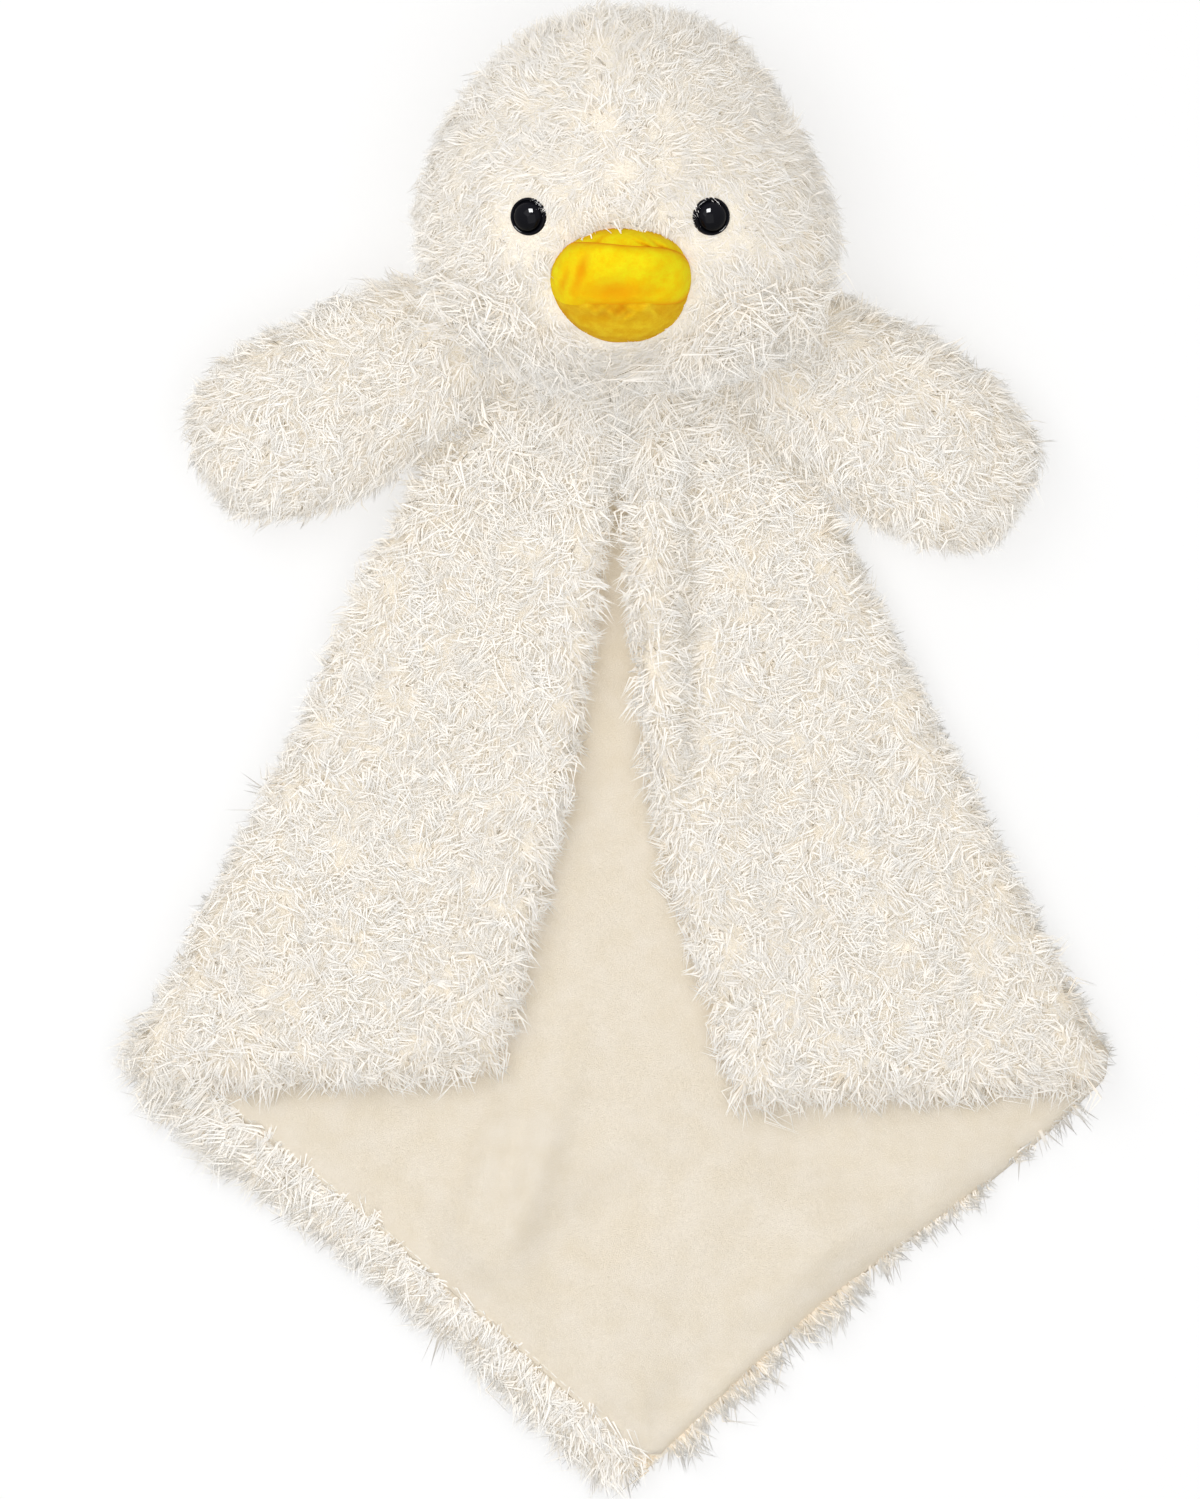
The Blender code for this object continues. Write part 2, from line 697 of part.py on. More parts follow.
def make_wing(side, head_room):
    """Two fur panels, sewn round the edge, over their filling. The wing lifts at its root."""
    frame = wing_frame(side)
    form = wing_form(frame)
    along = 2 * WING_HINGE / WING_LENGTH - 1
    swell = wing_swell(along, math.sqrt(1 - along * along)) / (1 + WING_BROAD_SHARE / 2)
    place = frame @ Vector((WING_HINGE, 0, WING_THICK / 2 * swell))
    empty = joint(f"{side.name}_wing_lift", place, frame.to_3x3() @ Vector((0, -1, 0)))
    pieces = []
    for part, sign in (("top", 1), ("under", -1)):
        mesh = ball(*WING_FACETS)
        keep_part(mesh, 0, sign)
        shape_skin(mesh, form, SKIN, Vector((0, 0, sign * GAP / 2)))
        pieces.append(add_object(f"{side.name}_wing_{part}", mesh, FUR))
    filling = ball(*WING_FACETS)
    shape_solid(filling, form, SKIN + ROOM)
    pieces.append(add_object(f"{side.name}_wing_stuffing", filling, FIBRE))
    for piece in pieces:
        cut(piece, head_room)
        hang(piece, empty)
    room = ball(*WING_FACETS)
    shape_solid(room, form, -WING_SWING_ROOM)
    return add_object(f"{side.name}_wing_room", room)


# Neck


def make_neck(head_room, wing_rooms, shoulders):
    """The blanket's gathered corner in the head's base, and the filling under the front cloth."""
    mesh = ball(*GATHER_FACETS)
    centre = Vector((0, GATHER_Y, HEAD_LIFT + GATHER_THICK / 2))
    for vert in mesh.verts:
        vert.co = centre + Vector((vert.co.z * GATHER_HALF, vert.co.x * GATHER_REACH,
                                   vert.co.y * GATHER_THICK / 2))
    gather = add_object("neck_gather", mesh, FUR)
    ends = bmesh.new()
    bmesh.ops.create_cube(ends, size=1)
    box = Vector((2 * GATHER_HALF + OVERRUN, GATHER_REACH + OVERRUN, GATHER_THICK + 2 * OVERRUN))
    middle = Vector((0, NECK_Y + GAP - box.y / 2, GATHER_THICK / 2))
    ends.transform(Matrix.Translation(middle) @ Matrix.Diagonal((*box, 1)))
    blanket_room = add_object("blanket_room", ends, smooth=False)
    for cutter in (blanket_room, head_room, *wing_rooms):
        cut(gather, cutter)
    for cloth in shoulders:
        cut(cloth, head_room)
    half = PAD_HALF
    rungs = [(Vector((-half, NECK_Y, 0)), Vector((half, NECK_Y, 0))),
             (Vector((-half / 2, NECK_Y - PAD_DEPTH, 0)), Vector((half / 2, NECK_Y - PAD_DEPTH, 0)))]
    pad = panel("neck_stuffing", ladder(rungs, (5,)), even_columns(8, False, False), flat(FRONT_LINING_LOW),
                lambda x, y: FRONT_LINING_LOW + PAD_SHARE * neck_rise(x, y), FIBRE)
    cut(pad, head_room)


clear_scene()
make_back()
front_cloths = []
for each in SIDES:
    front_cloths += make_shoulder(each)
    make_flap(each)
nod = joint("head_nod", Vector((HEAD_X, NOD_Y, NOD_Z)), Vector((1, 0, 0)))
head_clearance = make_head(nod)
make_beak(nod, head_clearance)
wings = [make_wing(each, head_clearance) for each in SIDES]
make_neck(head_clearance, wings, front_cloths)
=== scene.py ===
"""The looks of a comfort blanket with a duck's head: long fur, velour, a plush beak and glossy eyes.

Every soft piece takes its place and size from the frame's own solids. A skin is a smooth copy of
them, moved in or out a little, and the fur is grown on it as locks of real geometry.
"""

import json
import math
from collections import namedtuple

import bmesh
import bpy
import numpy as np
from mathutils import Matrix, Vector, kdtree

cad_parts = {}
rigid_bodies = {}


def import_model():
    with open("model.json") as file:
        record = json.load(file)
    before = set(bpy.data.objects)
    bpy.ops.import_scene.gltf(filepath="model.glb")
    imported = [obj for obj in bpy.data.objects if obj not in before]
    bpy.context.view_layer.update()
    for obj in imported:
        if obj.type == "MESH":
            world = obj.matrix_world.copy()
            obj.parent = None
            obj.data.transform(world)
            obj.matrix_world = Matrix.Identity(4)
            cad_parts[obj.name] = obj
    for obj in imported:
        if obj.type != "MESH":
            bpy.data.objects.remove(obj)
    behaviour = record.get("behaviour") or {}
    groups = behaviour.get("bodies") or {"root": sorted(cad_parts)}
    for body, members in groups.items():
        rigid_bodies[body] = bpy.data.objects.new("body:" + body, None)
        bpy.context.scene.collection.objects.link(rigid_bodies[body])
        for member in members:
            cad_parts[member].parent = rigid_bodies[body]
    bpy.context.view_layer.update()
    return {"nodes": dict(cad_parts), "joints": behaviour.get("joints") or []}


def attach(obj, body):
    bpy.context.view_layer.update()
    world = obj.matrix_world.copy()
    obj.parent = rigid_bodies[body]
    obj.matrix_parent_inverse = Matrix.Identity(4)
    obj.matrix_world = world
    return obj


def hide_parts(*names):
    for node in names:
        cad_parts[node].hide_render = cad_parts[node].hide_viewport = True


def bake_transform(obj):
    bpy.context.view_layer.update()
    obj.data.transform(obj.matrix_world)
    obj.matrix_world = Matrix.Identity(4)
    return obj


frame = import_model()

MM = 0.001
SEED = 7
HANDS = ("left", "right")
SIDE_SIGN = {"left": -1, "right": 1}

# The view: straight down on the toy, framed as the photograph is
VIEW_X = -6.25 * MM
VIEW_Y = -109.2 * MM
VIEW_LEVEL = 15 * MM
VIEW_HIGH = 468.4 * MM
CAMERA_UP = 20000 * MM
CAMERA_REACH = 400000 * MM
CAMERA_SENSOR = 24

# Light, as shares of what makes white cloth white, and where each lamp stands
SKY_SHARE = 0.6
FRONT_SHARE = 0.4
FRONT_SIZE = 1500 * MM
FRONT_FROM = (0.03, -0.22, 1)
KEY_SHARE = 0.2
KEY_SIZE = 850 * MM
KEY_FROM = (-0.4, 0.4, 0.9)
GLINT_SHARE = 7
GLINT_SIZE = 600 * MM
GLINT_FROM = (-0.05, 0.6, 0.8)
LAMP_AWAY = 1600 * MM
FLOOR_HALF = 4000 * MM
FLOOR_DROP = 0.2 * MM
FLOOR_PALE = (0.95, 0.95, 0.95, 1)
FLOOR_GLOW_SHARE = 0.65

# Cloth
WELD = 0.02 * MM
HEAD_CELL = 3 * MM
CLOTH_CELL = 2 * MM
LINING_CELL = 1.6 * MM
FLOOR_CLEAR = 0.25 * MM

# Fur: curved locks over a coat of straight hairs, which are slightly finer and shorter
LOCK_SIDES = 3
LOCK_FLAT_SHARE = 0.45
COAT_WIDTH_SHARE = 0.95
COAT_LENGTH_SHARE = 0.92
PIECE_TRIANGLES = 180000
ROOT_DEPTH = 1.8 * MM

# A kind of fur: how many locks and coat hairs to a square millimetre, their length and width, how far
# they lean from upright, how they stray and swirl in degrees, how many make a clump and how far it
# pulls together, and how much they curl
Pile = namedtuple("Pile", "density coat length width lean stray clump pull swirl swirl_size curl")
HEAD_PILE = Pile(density=0.8, coat=2.65, length=8.5 * MM, width=0.52 * MM, lean=67, stray=34,
                 clump=4, pull=0.6, swirl=34, swirl_size=22 * MM, curl=0.4)
BLANKET_PILE = Pile(density=0.77, coat=1.85, length=9.5 * MM, width=0.66 * MM, lean=64, stray=48,
                    clump=4, pull=0.65, swirl=50, swirl_size=18 * MM, curl=0.4)
TUFT_PILE = BLANKET_PILE._replace(density=0.5, coat=0, length=14 * MM, width=0.8 * MM, lean=62,
                                  stray=60, clump=6, pull=0.7, curl=0.7)
WING_PILE = BLANKET_PILE._replace(stray=38, swirl=35)
NAPE_PILE = HEAD_PILE._replace(density=0.25, coat=0.4, length=10 * MM, width=1.3 * MM, lean=74)
UNDER_PILE = BLANKET_PILE._replace(density=0, coat=0.3, length=14 * MM, width=2.2 * MM, lean=80, pull=0.3)
HEM_PILE = BLANKET_PILE._replace(density=1.2, coat=2.4, length=13 * MM, width=0.8 * MM, lean=72,
                                 stray=26, swirl=18)
HEM_EDGE_PILE = HEM_PILE._replace(density=1.6, coat=2.4, length=8.5 * MM, lean=48)
RIM_PILE = HEM_PILE._replace(density=1.2, coat=2.4, length=8 * MM, width=0.9 * MM, lean=60, stray=16)
BROW_PILE = HEAD_PILE._replace(density=2.4, coat=2.4, length=11.5 * MM, lean=34, stray=20, swirl=10)
NECK_PILE = BLANKET_PILE._replace(density=0.4, coat=0.8)

# How locks differ: a spread that a clump shares, and each lock's own
TURN_OWN_SHARE = 0.35
LEAN_SPREAD = 9
LEAN_OWN_SPREAD = 8
LEAN_LIMITS = (5, 86)
LENGTH_SPREAD = 0.13
LENGTH_OWN_SPREAD = 0.12
LENGTH_LIMITS = (0.5, 1.5)
CURL_OWN_SHARE = 0.5
WISP_SHARE = 0.06
WISP_LIFT = 26
PULL_SPAN = (0.6, 1.3)
PULL_MOST = 0.95
CLUMP_TIP_SHARE = 0.25
TIP_JITTER = 0.35 * MM
WIDTH_SPAN = (0.65, 1.25)
FACING_SPREAD = 0.35
TINT_SIZE = 30 * MM
TINT_SPREAD = 0.16
TINT_OWN_SPREAD = 0.12
TINT_LIMITS = (0.02, 0.98)

# Where a curved lock bends, as shares of its reach
BEND_UP_SHARE = 0.55
BEND_RISE_SHARE = 0.22
BEND_OVER_SHARE = 0.28

# How fur takes the light: its shading normals turn towards the cloth's, most where that faces up
SOFT_LIGHT_SHARE = 0.88
CURVED_SOFT_SHARE = 0.8
SOFT_SLOPE = 1.2
SOFT_START = 0.6
LIGHT_LIFT = 0.6
LOCK_MAP_HALF = 0.004


def smooth_step(share):
    share = np.clip(share, 0, 1)
    return share * share * (3 - 2 * share)


def mix(start, end, share):
    return start + (end - start) * share


def unit(vectors):
    """Each row at length 1."""
    return vectors / np.maximum(np.linalg.norm(vectors, axis=-1, keepdims=True), 1e-9)


def ripple(draw, size, waves=20):
    """A smooth random function of place, about -2 to 2, that changes over a given size."""
    facing = unit(draw.normal(size=(waves, 3)))
    wave = facing * (2 * math.pi / size) * draw.uniform(0.5, 1.3, (waves, 1))
    start = draw.uniform(0, 2 * math.pi, waves)
    return lambda places: np.sin(places @ wave.T + start).sum(axis=1) * math.sqrt(2 / waves)


# Materials


def colour_of(red, green, blue):
    """A colour given as it looks on a screen, in linear values."""
    def linear(value):
        value /= 255
        return value / 12.92 if value <= 0.04045 else ((value + 0.055) / 1.055) ** 2.4
    return (linear(red), linear(green), linear(blue), 1)


FUR_TIP = colour_of(251, 251, 251)
FUR_MIDDLE = colour_of(237, 233, 228)
# Painted shade: the root is warmer and darker, for the shade deep in the pile
FUR_ROOT = colour_of(208, 194, 173)
# Painted light: the fur glows a little, most at the root, which lifts the shade between its locks
PILE_GLOW_TIP = colour_of(93, 91, 84)
PILE_GLOW_ROOT = colour_of(162, 151, 132)
# Painted light: the fur's backing glows a little, which lifts the shade where it shows between the locks
UNDER_GLOW = colour_of(132, 124, 110)
UNDER_LIGHT = colour_of(246, 240, 229)
UNDER_DARK = colour_of(240, 230, 213)
VELOUR_LIGHT = colour_of(244, 235, 220)
VELOUR_DARK = colour_of(238, 227, 207)
# Painted light: the velour glows a little, which warms and lifts its shade beside the flaps
VELOUR_GLOW = colour_of(56, 48, 34)
BEAK_LIGHT = colour_of(255, 240, 28)
BEAK_DARK = colour_of(255, 210, 2)
# Painted shade: the lower lip is the same plush in darker colours, as it faces down
SHADED_LIP_LIGHT = colour_of(250, 214, 42)
SHADED_LIP_DARK = colour_of(236, 178, 8)
# Painted shade, a deeper orange, for the folds, seams and dents of the bill and the lip
BEAK_PAINTED_SHADE = colour_of(248, 148, 0)
LIP_PAINTED_SHADE = colour_of(214, 126, 6)
EYE_BLACK = colour_of(2, 2, 3)
THREAD = colour_of(252, 247, 238)
THREAD_DARK = colour_of(240, 232, 216)
FIBRE = colour_of(246, 246, 243)
FIBRE_DARK = colour_of(228, 228, 224)
WASHER_WHITE = colour_of(236, 236, 232)
WARM_TINT = (0.98, 0.96, 0.93, 1)
WHITE = (1, 1, 1, 1)

# Where the two colours of a nap lie, and how much of its shade comes from single fibres
NAP_DARK_AT = 0.38
NAP_LIGHT_AT = 0.62
NAP_FIBRE_SHARE = 0.55

# The colour sockets of a Mix node, whose names its other kinds share
MIX_FIRST = 6
MIX_SECOND = 7
MIX_RESULT = 2


def set_inputs(node, **values):
    """Set a node's sockets by name, with underscores for the spaces."""
    for name, value in values.items():
        node.inputs[name.replace("_", " ")].default_value = value


def add_node(tree, kind, **values):
    made = tree.nodes.new("ShaderNode" + kind)
    set_inputs(made, **values)
    return made


def add_math(tree, operation):
    made = add_node(tree, "Math")
    made.operation = operation
    return made


def add_ramp(tree, *stops):
    """A colour ramp through some stops, each a position and a colour."""
    made = add_node(tree, "ValToRGB")
    elements = made.color_ramp.elements
    for element, stop in zip(elements[:], (stops[0], stops[-1])):
        element.position, element.color = stop
    for position, colour in stops[1:-1]:
        elements.new(position).color = colour
    return made


def link(source, output, target, entry):
    """Join one node's output to another node's input."""
    source.id_data.links.new(source.outputs[output], target.inputs[entry])


def new_material(name):
    made = bpy.data.materials.new(name)
    made.use_nodes = True
    return made, made.node_tree, made.node_tree.nodes["Principled BSDF"]


def put_nap_group():
    """A fine brushed nap: cloth fibres of one size, laid in soft swirls. Height is for a bump."""
    group = bpy.data.node_groups.new("brushed_nap", "ShaderNodeTree")
    for name, kind in (("Place", "Vector"), ("Fibre", "Float"), ("Swirl", "Float")):
        group.interface.new_socket(name, in_out="INPUT", socket_type="NodeSocket" + kind)
    for name in ("Height", "Shade"):
        group.interface.new_socket(name, in_out="OUTPUT", socket_type="NodeSocketFloat")
    enter = group.nodes.new("NodeGroupInput")
    leave = group.nodes.new("NodeGroupOutput")
    swirl = add_node(group, "TexNoise", Detail=2)
    link(enter, "Place", swirl, "Vector")
    link(enter, "Swirl", swirl, "Scale")
    fibre = add_node(group, "TexNoise", Detail=3, Roughness=0.65, Distortion=1.6)
    link(enter, "Place", fibre, "Vector")
    link(enter, "Fibre", fibre, "Scale")
    shade = add_math(group, "MULTIPLY_ADD")
    shade.inputs[1].default_value = NAP_FIBRE_SHARE
    link(fibre, "Fac", shade, 0)
    rest = add_math(group, "MULTIPLY")
    rest.inputs[1].default_value = 1 - NAP_FIBRE_SHARE
    link(swirl, "Fac", rest, 0)
    link(rest, "Value", shade, 2)
    link(fibre, "Fac", leave, "Height")
    link(shade, "Value", leave, "Shade")
    return group


NAP = put_nap_group()


def nap_material(name, light, dark, fibre, swirl, depth, roughness, sheen, glow=None):
    """Cloth with a brushed nap, in two near colours, and a glow if one is given: painted light that lifts
    its shade.
    """
    made, tree, shader = new_material(name)
    place = add_node(tree, "TexCoord")
    nap = tree.nodes.new("ShaderNodeGroup")
    nap.node_tree = NAP
    set_inputs(nap, Fibre=fibre, Swirl=swirl)
    link(place, "Object", nap, "Place")
    ramp = add_ramp(tree, (NAP_DARK_AT, dark), (NAP_LIGHT_AT, light))
    link(nap, "Shade", ramp, "Fac")
    link(ramp, "Color", shader, "Base Color")
    bump = add_node(tree, "Bump", Distance=depth)
    link(nap, "Height", bump, "Height")
    link(bump, "Normal", shader, "Normal")
    set_inputs(shader, Roughness=roughness, Sheen_Weight=sheen, Sheen_Roughness=0.5,
               Specular_IOR_Level=0.2)
    if glow:
        set_inputs(shader, Emission_Color=glow, Emission_Strength=1)
    return made


def plush_material(name, light, dark, painted_shade):
    """Short plush: a fine nap, and painted shade in a darker orange where the cloth is folded in."""
    made = nap_material(name, light, dark, fibre=2200, swirl=260, depth=0.32 * MM,
                        roughness=0.85, sheen=0)
    tree = made.node_tree
    shader = tree.nodes["Principled BSDF"]
    set_inputs(shader, Specular_IOR_Level=0.08)
    plain = shader.inputs["Base Color"].links[0].from_node
    fold = add_node(tree, "Attribute")
    fold.attribute_name = "painted_fold_shade"
    mixed = add_node(tree, "Mix")
    mixed.data_type = "RGBA"
    mixed.inputs[MIX_SECOND].default_value = painted_shade
    link(fold, "Fac", mixed, "Factor")
    link(plain, "Color", mixed, MIX_FIRST)
    link(mixed, MIX_RESULT, shader, "Base Color")
    return made


def fur_material():
    """Locks of pile: warm at the root (painted shade deep in the pile), nearly white at the tip, with a
    painted glow, strongest at the root, that lifts the shade between them. Their map's V runs up each
    lock.
    """
    made, tree, shader = new_material("cream_fur")
    lock = add_node(tree, "UVMap")
    lock.uv_map = "OFBake"
    split = add_node(tree, "SeparateXYZ")
    link(lock, "UV", split, "Vector")
    ramp = add_ramp(tree, (0, FUR_ROOT), (0.45, FUR_MIDDLE), (1, FUR_TIP))
    link(split, "Y", ramp, "Fac")
    tint = add_ramp(tree, (0, WARM_TINT), (1, WHITE))
    link(split, "X", tint, "Fac")
    mixed = add_node(tree, "Mix")
    mixed.data_type = "RGBA"
    mixed.blend_type = "MULTIPLY"
    mixed.inputs["Factor"].default_value = 1
    link(ramp, "Color", mixed, MIX_FIRST)
    link(tint, "Color", mixed, MIX_SECOND)
    link(mixed, MIX_RESULT, shader, "Base Color")
    # Painted light: a glow, strongest at the root, that lifts the shade between the locks
    glow = add_ramp(tree, (0, PILE_GLOW_ROOT), (0.9, PILE_GLOW_TIP))
    link(split, "Y", glow, "Fac")
    link(glow, "Color", shader, "Emission Color")
    set_inputs(shader, Emission_Strength=1, Roughness=0.42, Specular_IOR_Level=0.35,
               Sheen_Weight=0.25, Sheen_Roughness=0.4)
    return made


def plastic_material(name, colour, roughness, coat, gloss):
    """Moulded plastic with a faint unevenness in its polish."""
    made, tree, shader = new_material(name)
    place = add_node(tree, "TexCoord")
    noise = add_node(tree, "TexNoise", Scale=900, Detail=3)
    link(place, "Object", noise, "Vector")
    span = add_node(tree, "MapRange", To_Min=roughness * 0.8, To_Max=roughness * 1.3)
    link(noise, "Fac", span, "Value")
    link(span, "Result", shader, "Roughness")
    set_inputs(shader, Base_Color=colour, Coat_Weight=coat, Coat_Roughness=0.03, Specular_IOR_Level=gloss)
    return made


FUR = fur_material()
BACKING = nap_material("fur_backing", UNDER_LIGHT, UNDER_DARK, fibre=1100, swirl=160, depth=0.7 * MM,
                       roughness=0.9, sheen=0.2, glow=UNDER_GLOW)
VELOUR = nap_material("velour", VELOUR_LIGHT, VELOUR_DARK, fibre=2400, swirl=110, depth=0.35 * MM,
                      roughness=0.85, sheen=0.2, glow=VELOUR_GLOW)
BEAK_PLUSH = plush_material("yellow_plush", BEAK_LIGHT, BEAK_DARK, BEAK_PAINTED_SHADE)
# The lower lip: the beak's plush darkened with painted shade
SHADED_LIP_PLUSH = plush_material("yellow_plush_shaded_lip", SHADED_LIP_LIGHT, SHADED_LIP_DARK, LIP_PAINTED_SHADE)
FILLING = nap_material("fibre_filling", FIBRE, FIBRE_DARK, fibre=500, swirl=60, depth=0.8 * MM,
                       roughness=1, sheen=0.3)
COTTON = nap_material("stitch_thread", THREAD, THREAD_DARK, fibre=3000, swirl=300, depth=0.05 * MM,
                      roughness=0.8, sheen=0.2)
EYE_PLASTIC = plastic_material("black_plastic", EYE_BLACK, roughness=0.03, coat=0.05, gloss=0.05)
WASHER_PLASTIC = plastic_material("white_plastic", WASHER_WHITE, roughness=0.4, coat=0, gloss=0.5)


# Meshes


def new_piece(name, mesh, material, body=None):
    """An object from a bmesh, at the origin, in its finish."""
    data = bpy.data.meshes.new(name)
    mesh.to_mesh(data)
    mesh.free()
    return place_piece(name, data, material, body)


def place_piece(name, data, material, body=None):
    made = bpy.data.objects.new(name, data)
    bpy.context.collection.objects.link(made)
    data.materials.clear()
    data.materials.append(material)
    data.shade_smooth()
    if body:
        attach(made, body)
    return made


def cad_points(*nodes):
    """All corners of some CAD nodes, one row each."""
    return np.concatenate([read_rows(frame["nodes"][node].data.vertices, "co") for node in nodes])


def box_of(*nodes):
    """The lowest and the highest corner of the box round some CAD nodes."""
    points = cad_points(*nodes)
    return points.min(axis=0), points.max(axis=0)


def joint_of(name):
    """A joint's place and axis."""
    joint = next(joint for joint in frame["joints"] if joint["name"] == name)
    return joint["pos_m"], joint["axis"]


def read_rows(items, field, width=3):
    rows = np.empty(len(items) * width, np.float32)
    items.foreach_get(field, rows)
    return rows.reshape(-1, width).astype(float)


def write_rows(items, field, rows):
    items.foreach_set(field, np.ascontiguousarray(rows, np.float32).ravel())


def soften(mesh):
    """Ease each corner halfway towards the corners round it."""
    bmesh.ops.smooth_vert(mesh, verts=mesh.verts[:], factor=0.5,
                          use_axis_x=True, use_axis_y=True, use_axis_z=True)


LUMP_SIZE = 16 * MM
LUMP_SHARE = 0.5
FINE_LUMP_SIZE = 6 * MM
FINE_LUMP_SHARE = 0.3


def soft_copy(name, nodes, cell, sink, smooth=3, lumps=0, settle=None):
    """One closed mesh over some CAD nodes: gaps closed, edges softened, sunk or grown, softly uneven."""
    body = bmesh.new()
    for node in nodes:
        body.from_mesh(frame["nodes"][node].data)
    bmesh.ops.remove_doubles(body, verts=body.verts[:], dist=WELD)
    data = bpy.data.meshes.new(name)
    body.to_mesh(data)
    body.free()
    rough = bpy.data.objects.new(name + "_rough", data)
    bpy.context.collection.objects.link(rough)
    remesh = rough.modifiers.new("one skin", "REMESH")
    remesh.mode = "VOXEL"
    remesh.voxel_size = cell
    bpy.context.view_layer.update()
    evaluated = rough.evaluated_get(bpy.context.evaluated_depsgraph_get())
    skin = bmesh.new()
    skin.from_mesh(evaluated.to_mesh())
    evaluated.to_mesh_clear()
    bpy.data.objects.remove(rough)
    keep_outer(skin)
    for _ in range(smooth):
        soften(skin)
    if settle:
        for vert in skin.verts:
            vert.co += Vector(settle(vert.co))
    skin.normal_update()
    draw = np.random.default_rng(SEED + len(name))
    places = np.array([vert.co for vert in skin.verts])
    uneven = lumps * (LUMP_SHARE * ripple(draw, LUMP_SIZE)(places)
                      + FINE_LUMP_SHARE * ripple(draw, FINE_LUMP_SIZE)(places))
    for vert, move in zip(skin.verts[:], uneven - sink):
        vert.co += vert.normal * float(move)
    soften(skin)
    skin.normal_update()
    return skin


def make_skin(name, nodes, cell, sink, material, body, slot, **form):
    """A soft copy of some CAD nodes, as a piece."""
    return new_piece(name, soft_copy(name, nodes, cell, sink, **form), material, body)


def keep_outer(mesh):
    """Drop any closed pocket inside the outer skin."""
    mesh.verts.ensure_lookup_table()
    start = min(mesh.verts, key=lambda vert: vert.co.x)
    seen = {start}
    edge = [start]
    while edge:
        vert = edge.pop()
        for side in vert.link_edges:
            other = side.other_vert(vert)
            if other not in seen:
                seen.add(other)
                edge.append(other)
    inner = [vert for vert in mesh.verts if vert not in seen]
    bmesh.ops.delete(mesh, geom=inner, context="VERTS")


# Fur


def unit_lock(inner_levels, width_shares):
    """A lock of unit length along Z, three-sided, tapered and closed: its corners and its faces."""
    lock = bmesh.new()
    bmesh.ops.create_cone(lock, cap_ends=True, segments=LOCK_SIDES, radius1=1, radius2=0, depth=1)
    bmesh.ops.translate(lock, verts=lock.verts[:], vec=(0, 0, 0.5))
    for level in inner_levels:
        everything = lock.verts[:] + lock.edges[:] + lock.faces[:]
        bmesh.ops.bisect_plane(lock, geom=everything, plane_co=(0, 0, level), plane_no=(0, 0, 1))
    levels = (0, *inner_levels, 1)
    for vert in lock.verts:
        wide = np.interp(vert.co.z, levels, width_shares)
        round_it = math.hypot(vert.co.x, vert.co.y)
        if round_it > 0:
            vert.co.x *= wide / round_it
            vert.co.y *= wide / round_it
    bmesh.ops.recalc_face_normals(lock, faces=lock.faces[:])
    lock.verts.index_update()
    corners = np.array([vert.co for vert in lock.verts])
    faces = [[vert.index for vert in face.verts] for face in lock.faces]
    lock.free()
    return corners, faces


CURVED_LOCK = unit_lock((0.5,), (0.8, 1, 0))
STRAIGHT_LOCK = unit_lock((), (1, 0))


def scatter(skin, density, draw, keep=None):
    """Random places all over a skin, so many to a square millimetre, with the normal at each."""
    data = skin.data
    data.calc_loop_triangles()
    index = np.empty(len(data.loop_triangles) * 3, np.int32)
    data.loop_triangles.foreach_get("vertices", index)
    index = index.reshape(-1, 3)
    points = read_rows(data.vertices, "co")
    normals = read_rows(data.vertex_normals, "vector")
    first, second, third = (points[index[:, side]] for side in range(3))
    area = np.linalg.norm(np.cross(second - first, third - first), axis=1) / 2
    if keep is not None:
        area = area * keep((first + second + third) / 3, unit(normals[index].mean(axis=1)))
    total = area.sum()
    count = int(total / MM ** 2 * density)
    chosen = draw.choice(len(area), count, p=area / total)
    share = draw.random((count, 2))
    over = share.sum(axis=1) > 1
    share[over] = 1 - share[over]
    weights = np.stack([1 - share.sum(axis=1), share[:, 0], share[:, 1]], axis=1)
    places = (points[index[chosen]] * weights[:, :, None]).sum(axis=1)
    facing = unit((normals[index[chosen]] * weights[:, :, None]).sum(axis=1))
    return places, facing


def nearest_clump(roots, centres):
    tree = kdtree.KDTree(len(centres))
    for number, centre in enumerate(centres):
        tree.insert(roots[centre], number)
    tree.balance()
    return np.array([tree.find(root)[1] for root in roots])


def turned(along, about, angle):
    """Tangents turned about their normals, by an angle in radians."""
    across = np.cross(about, along)
    return along * np.cos(angle)[:, None] + across * np.sin(angle)[:, None]


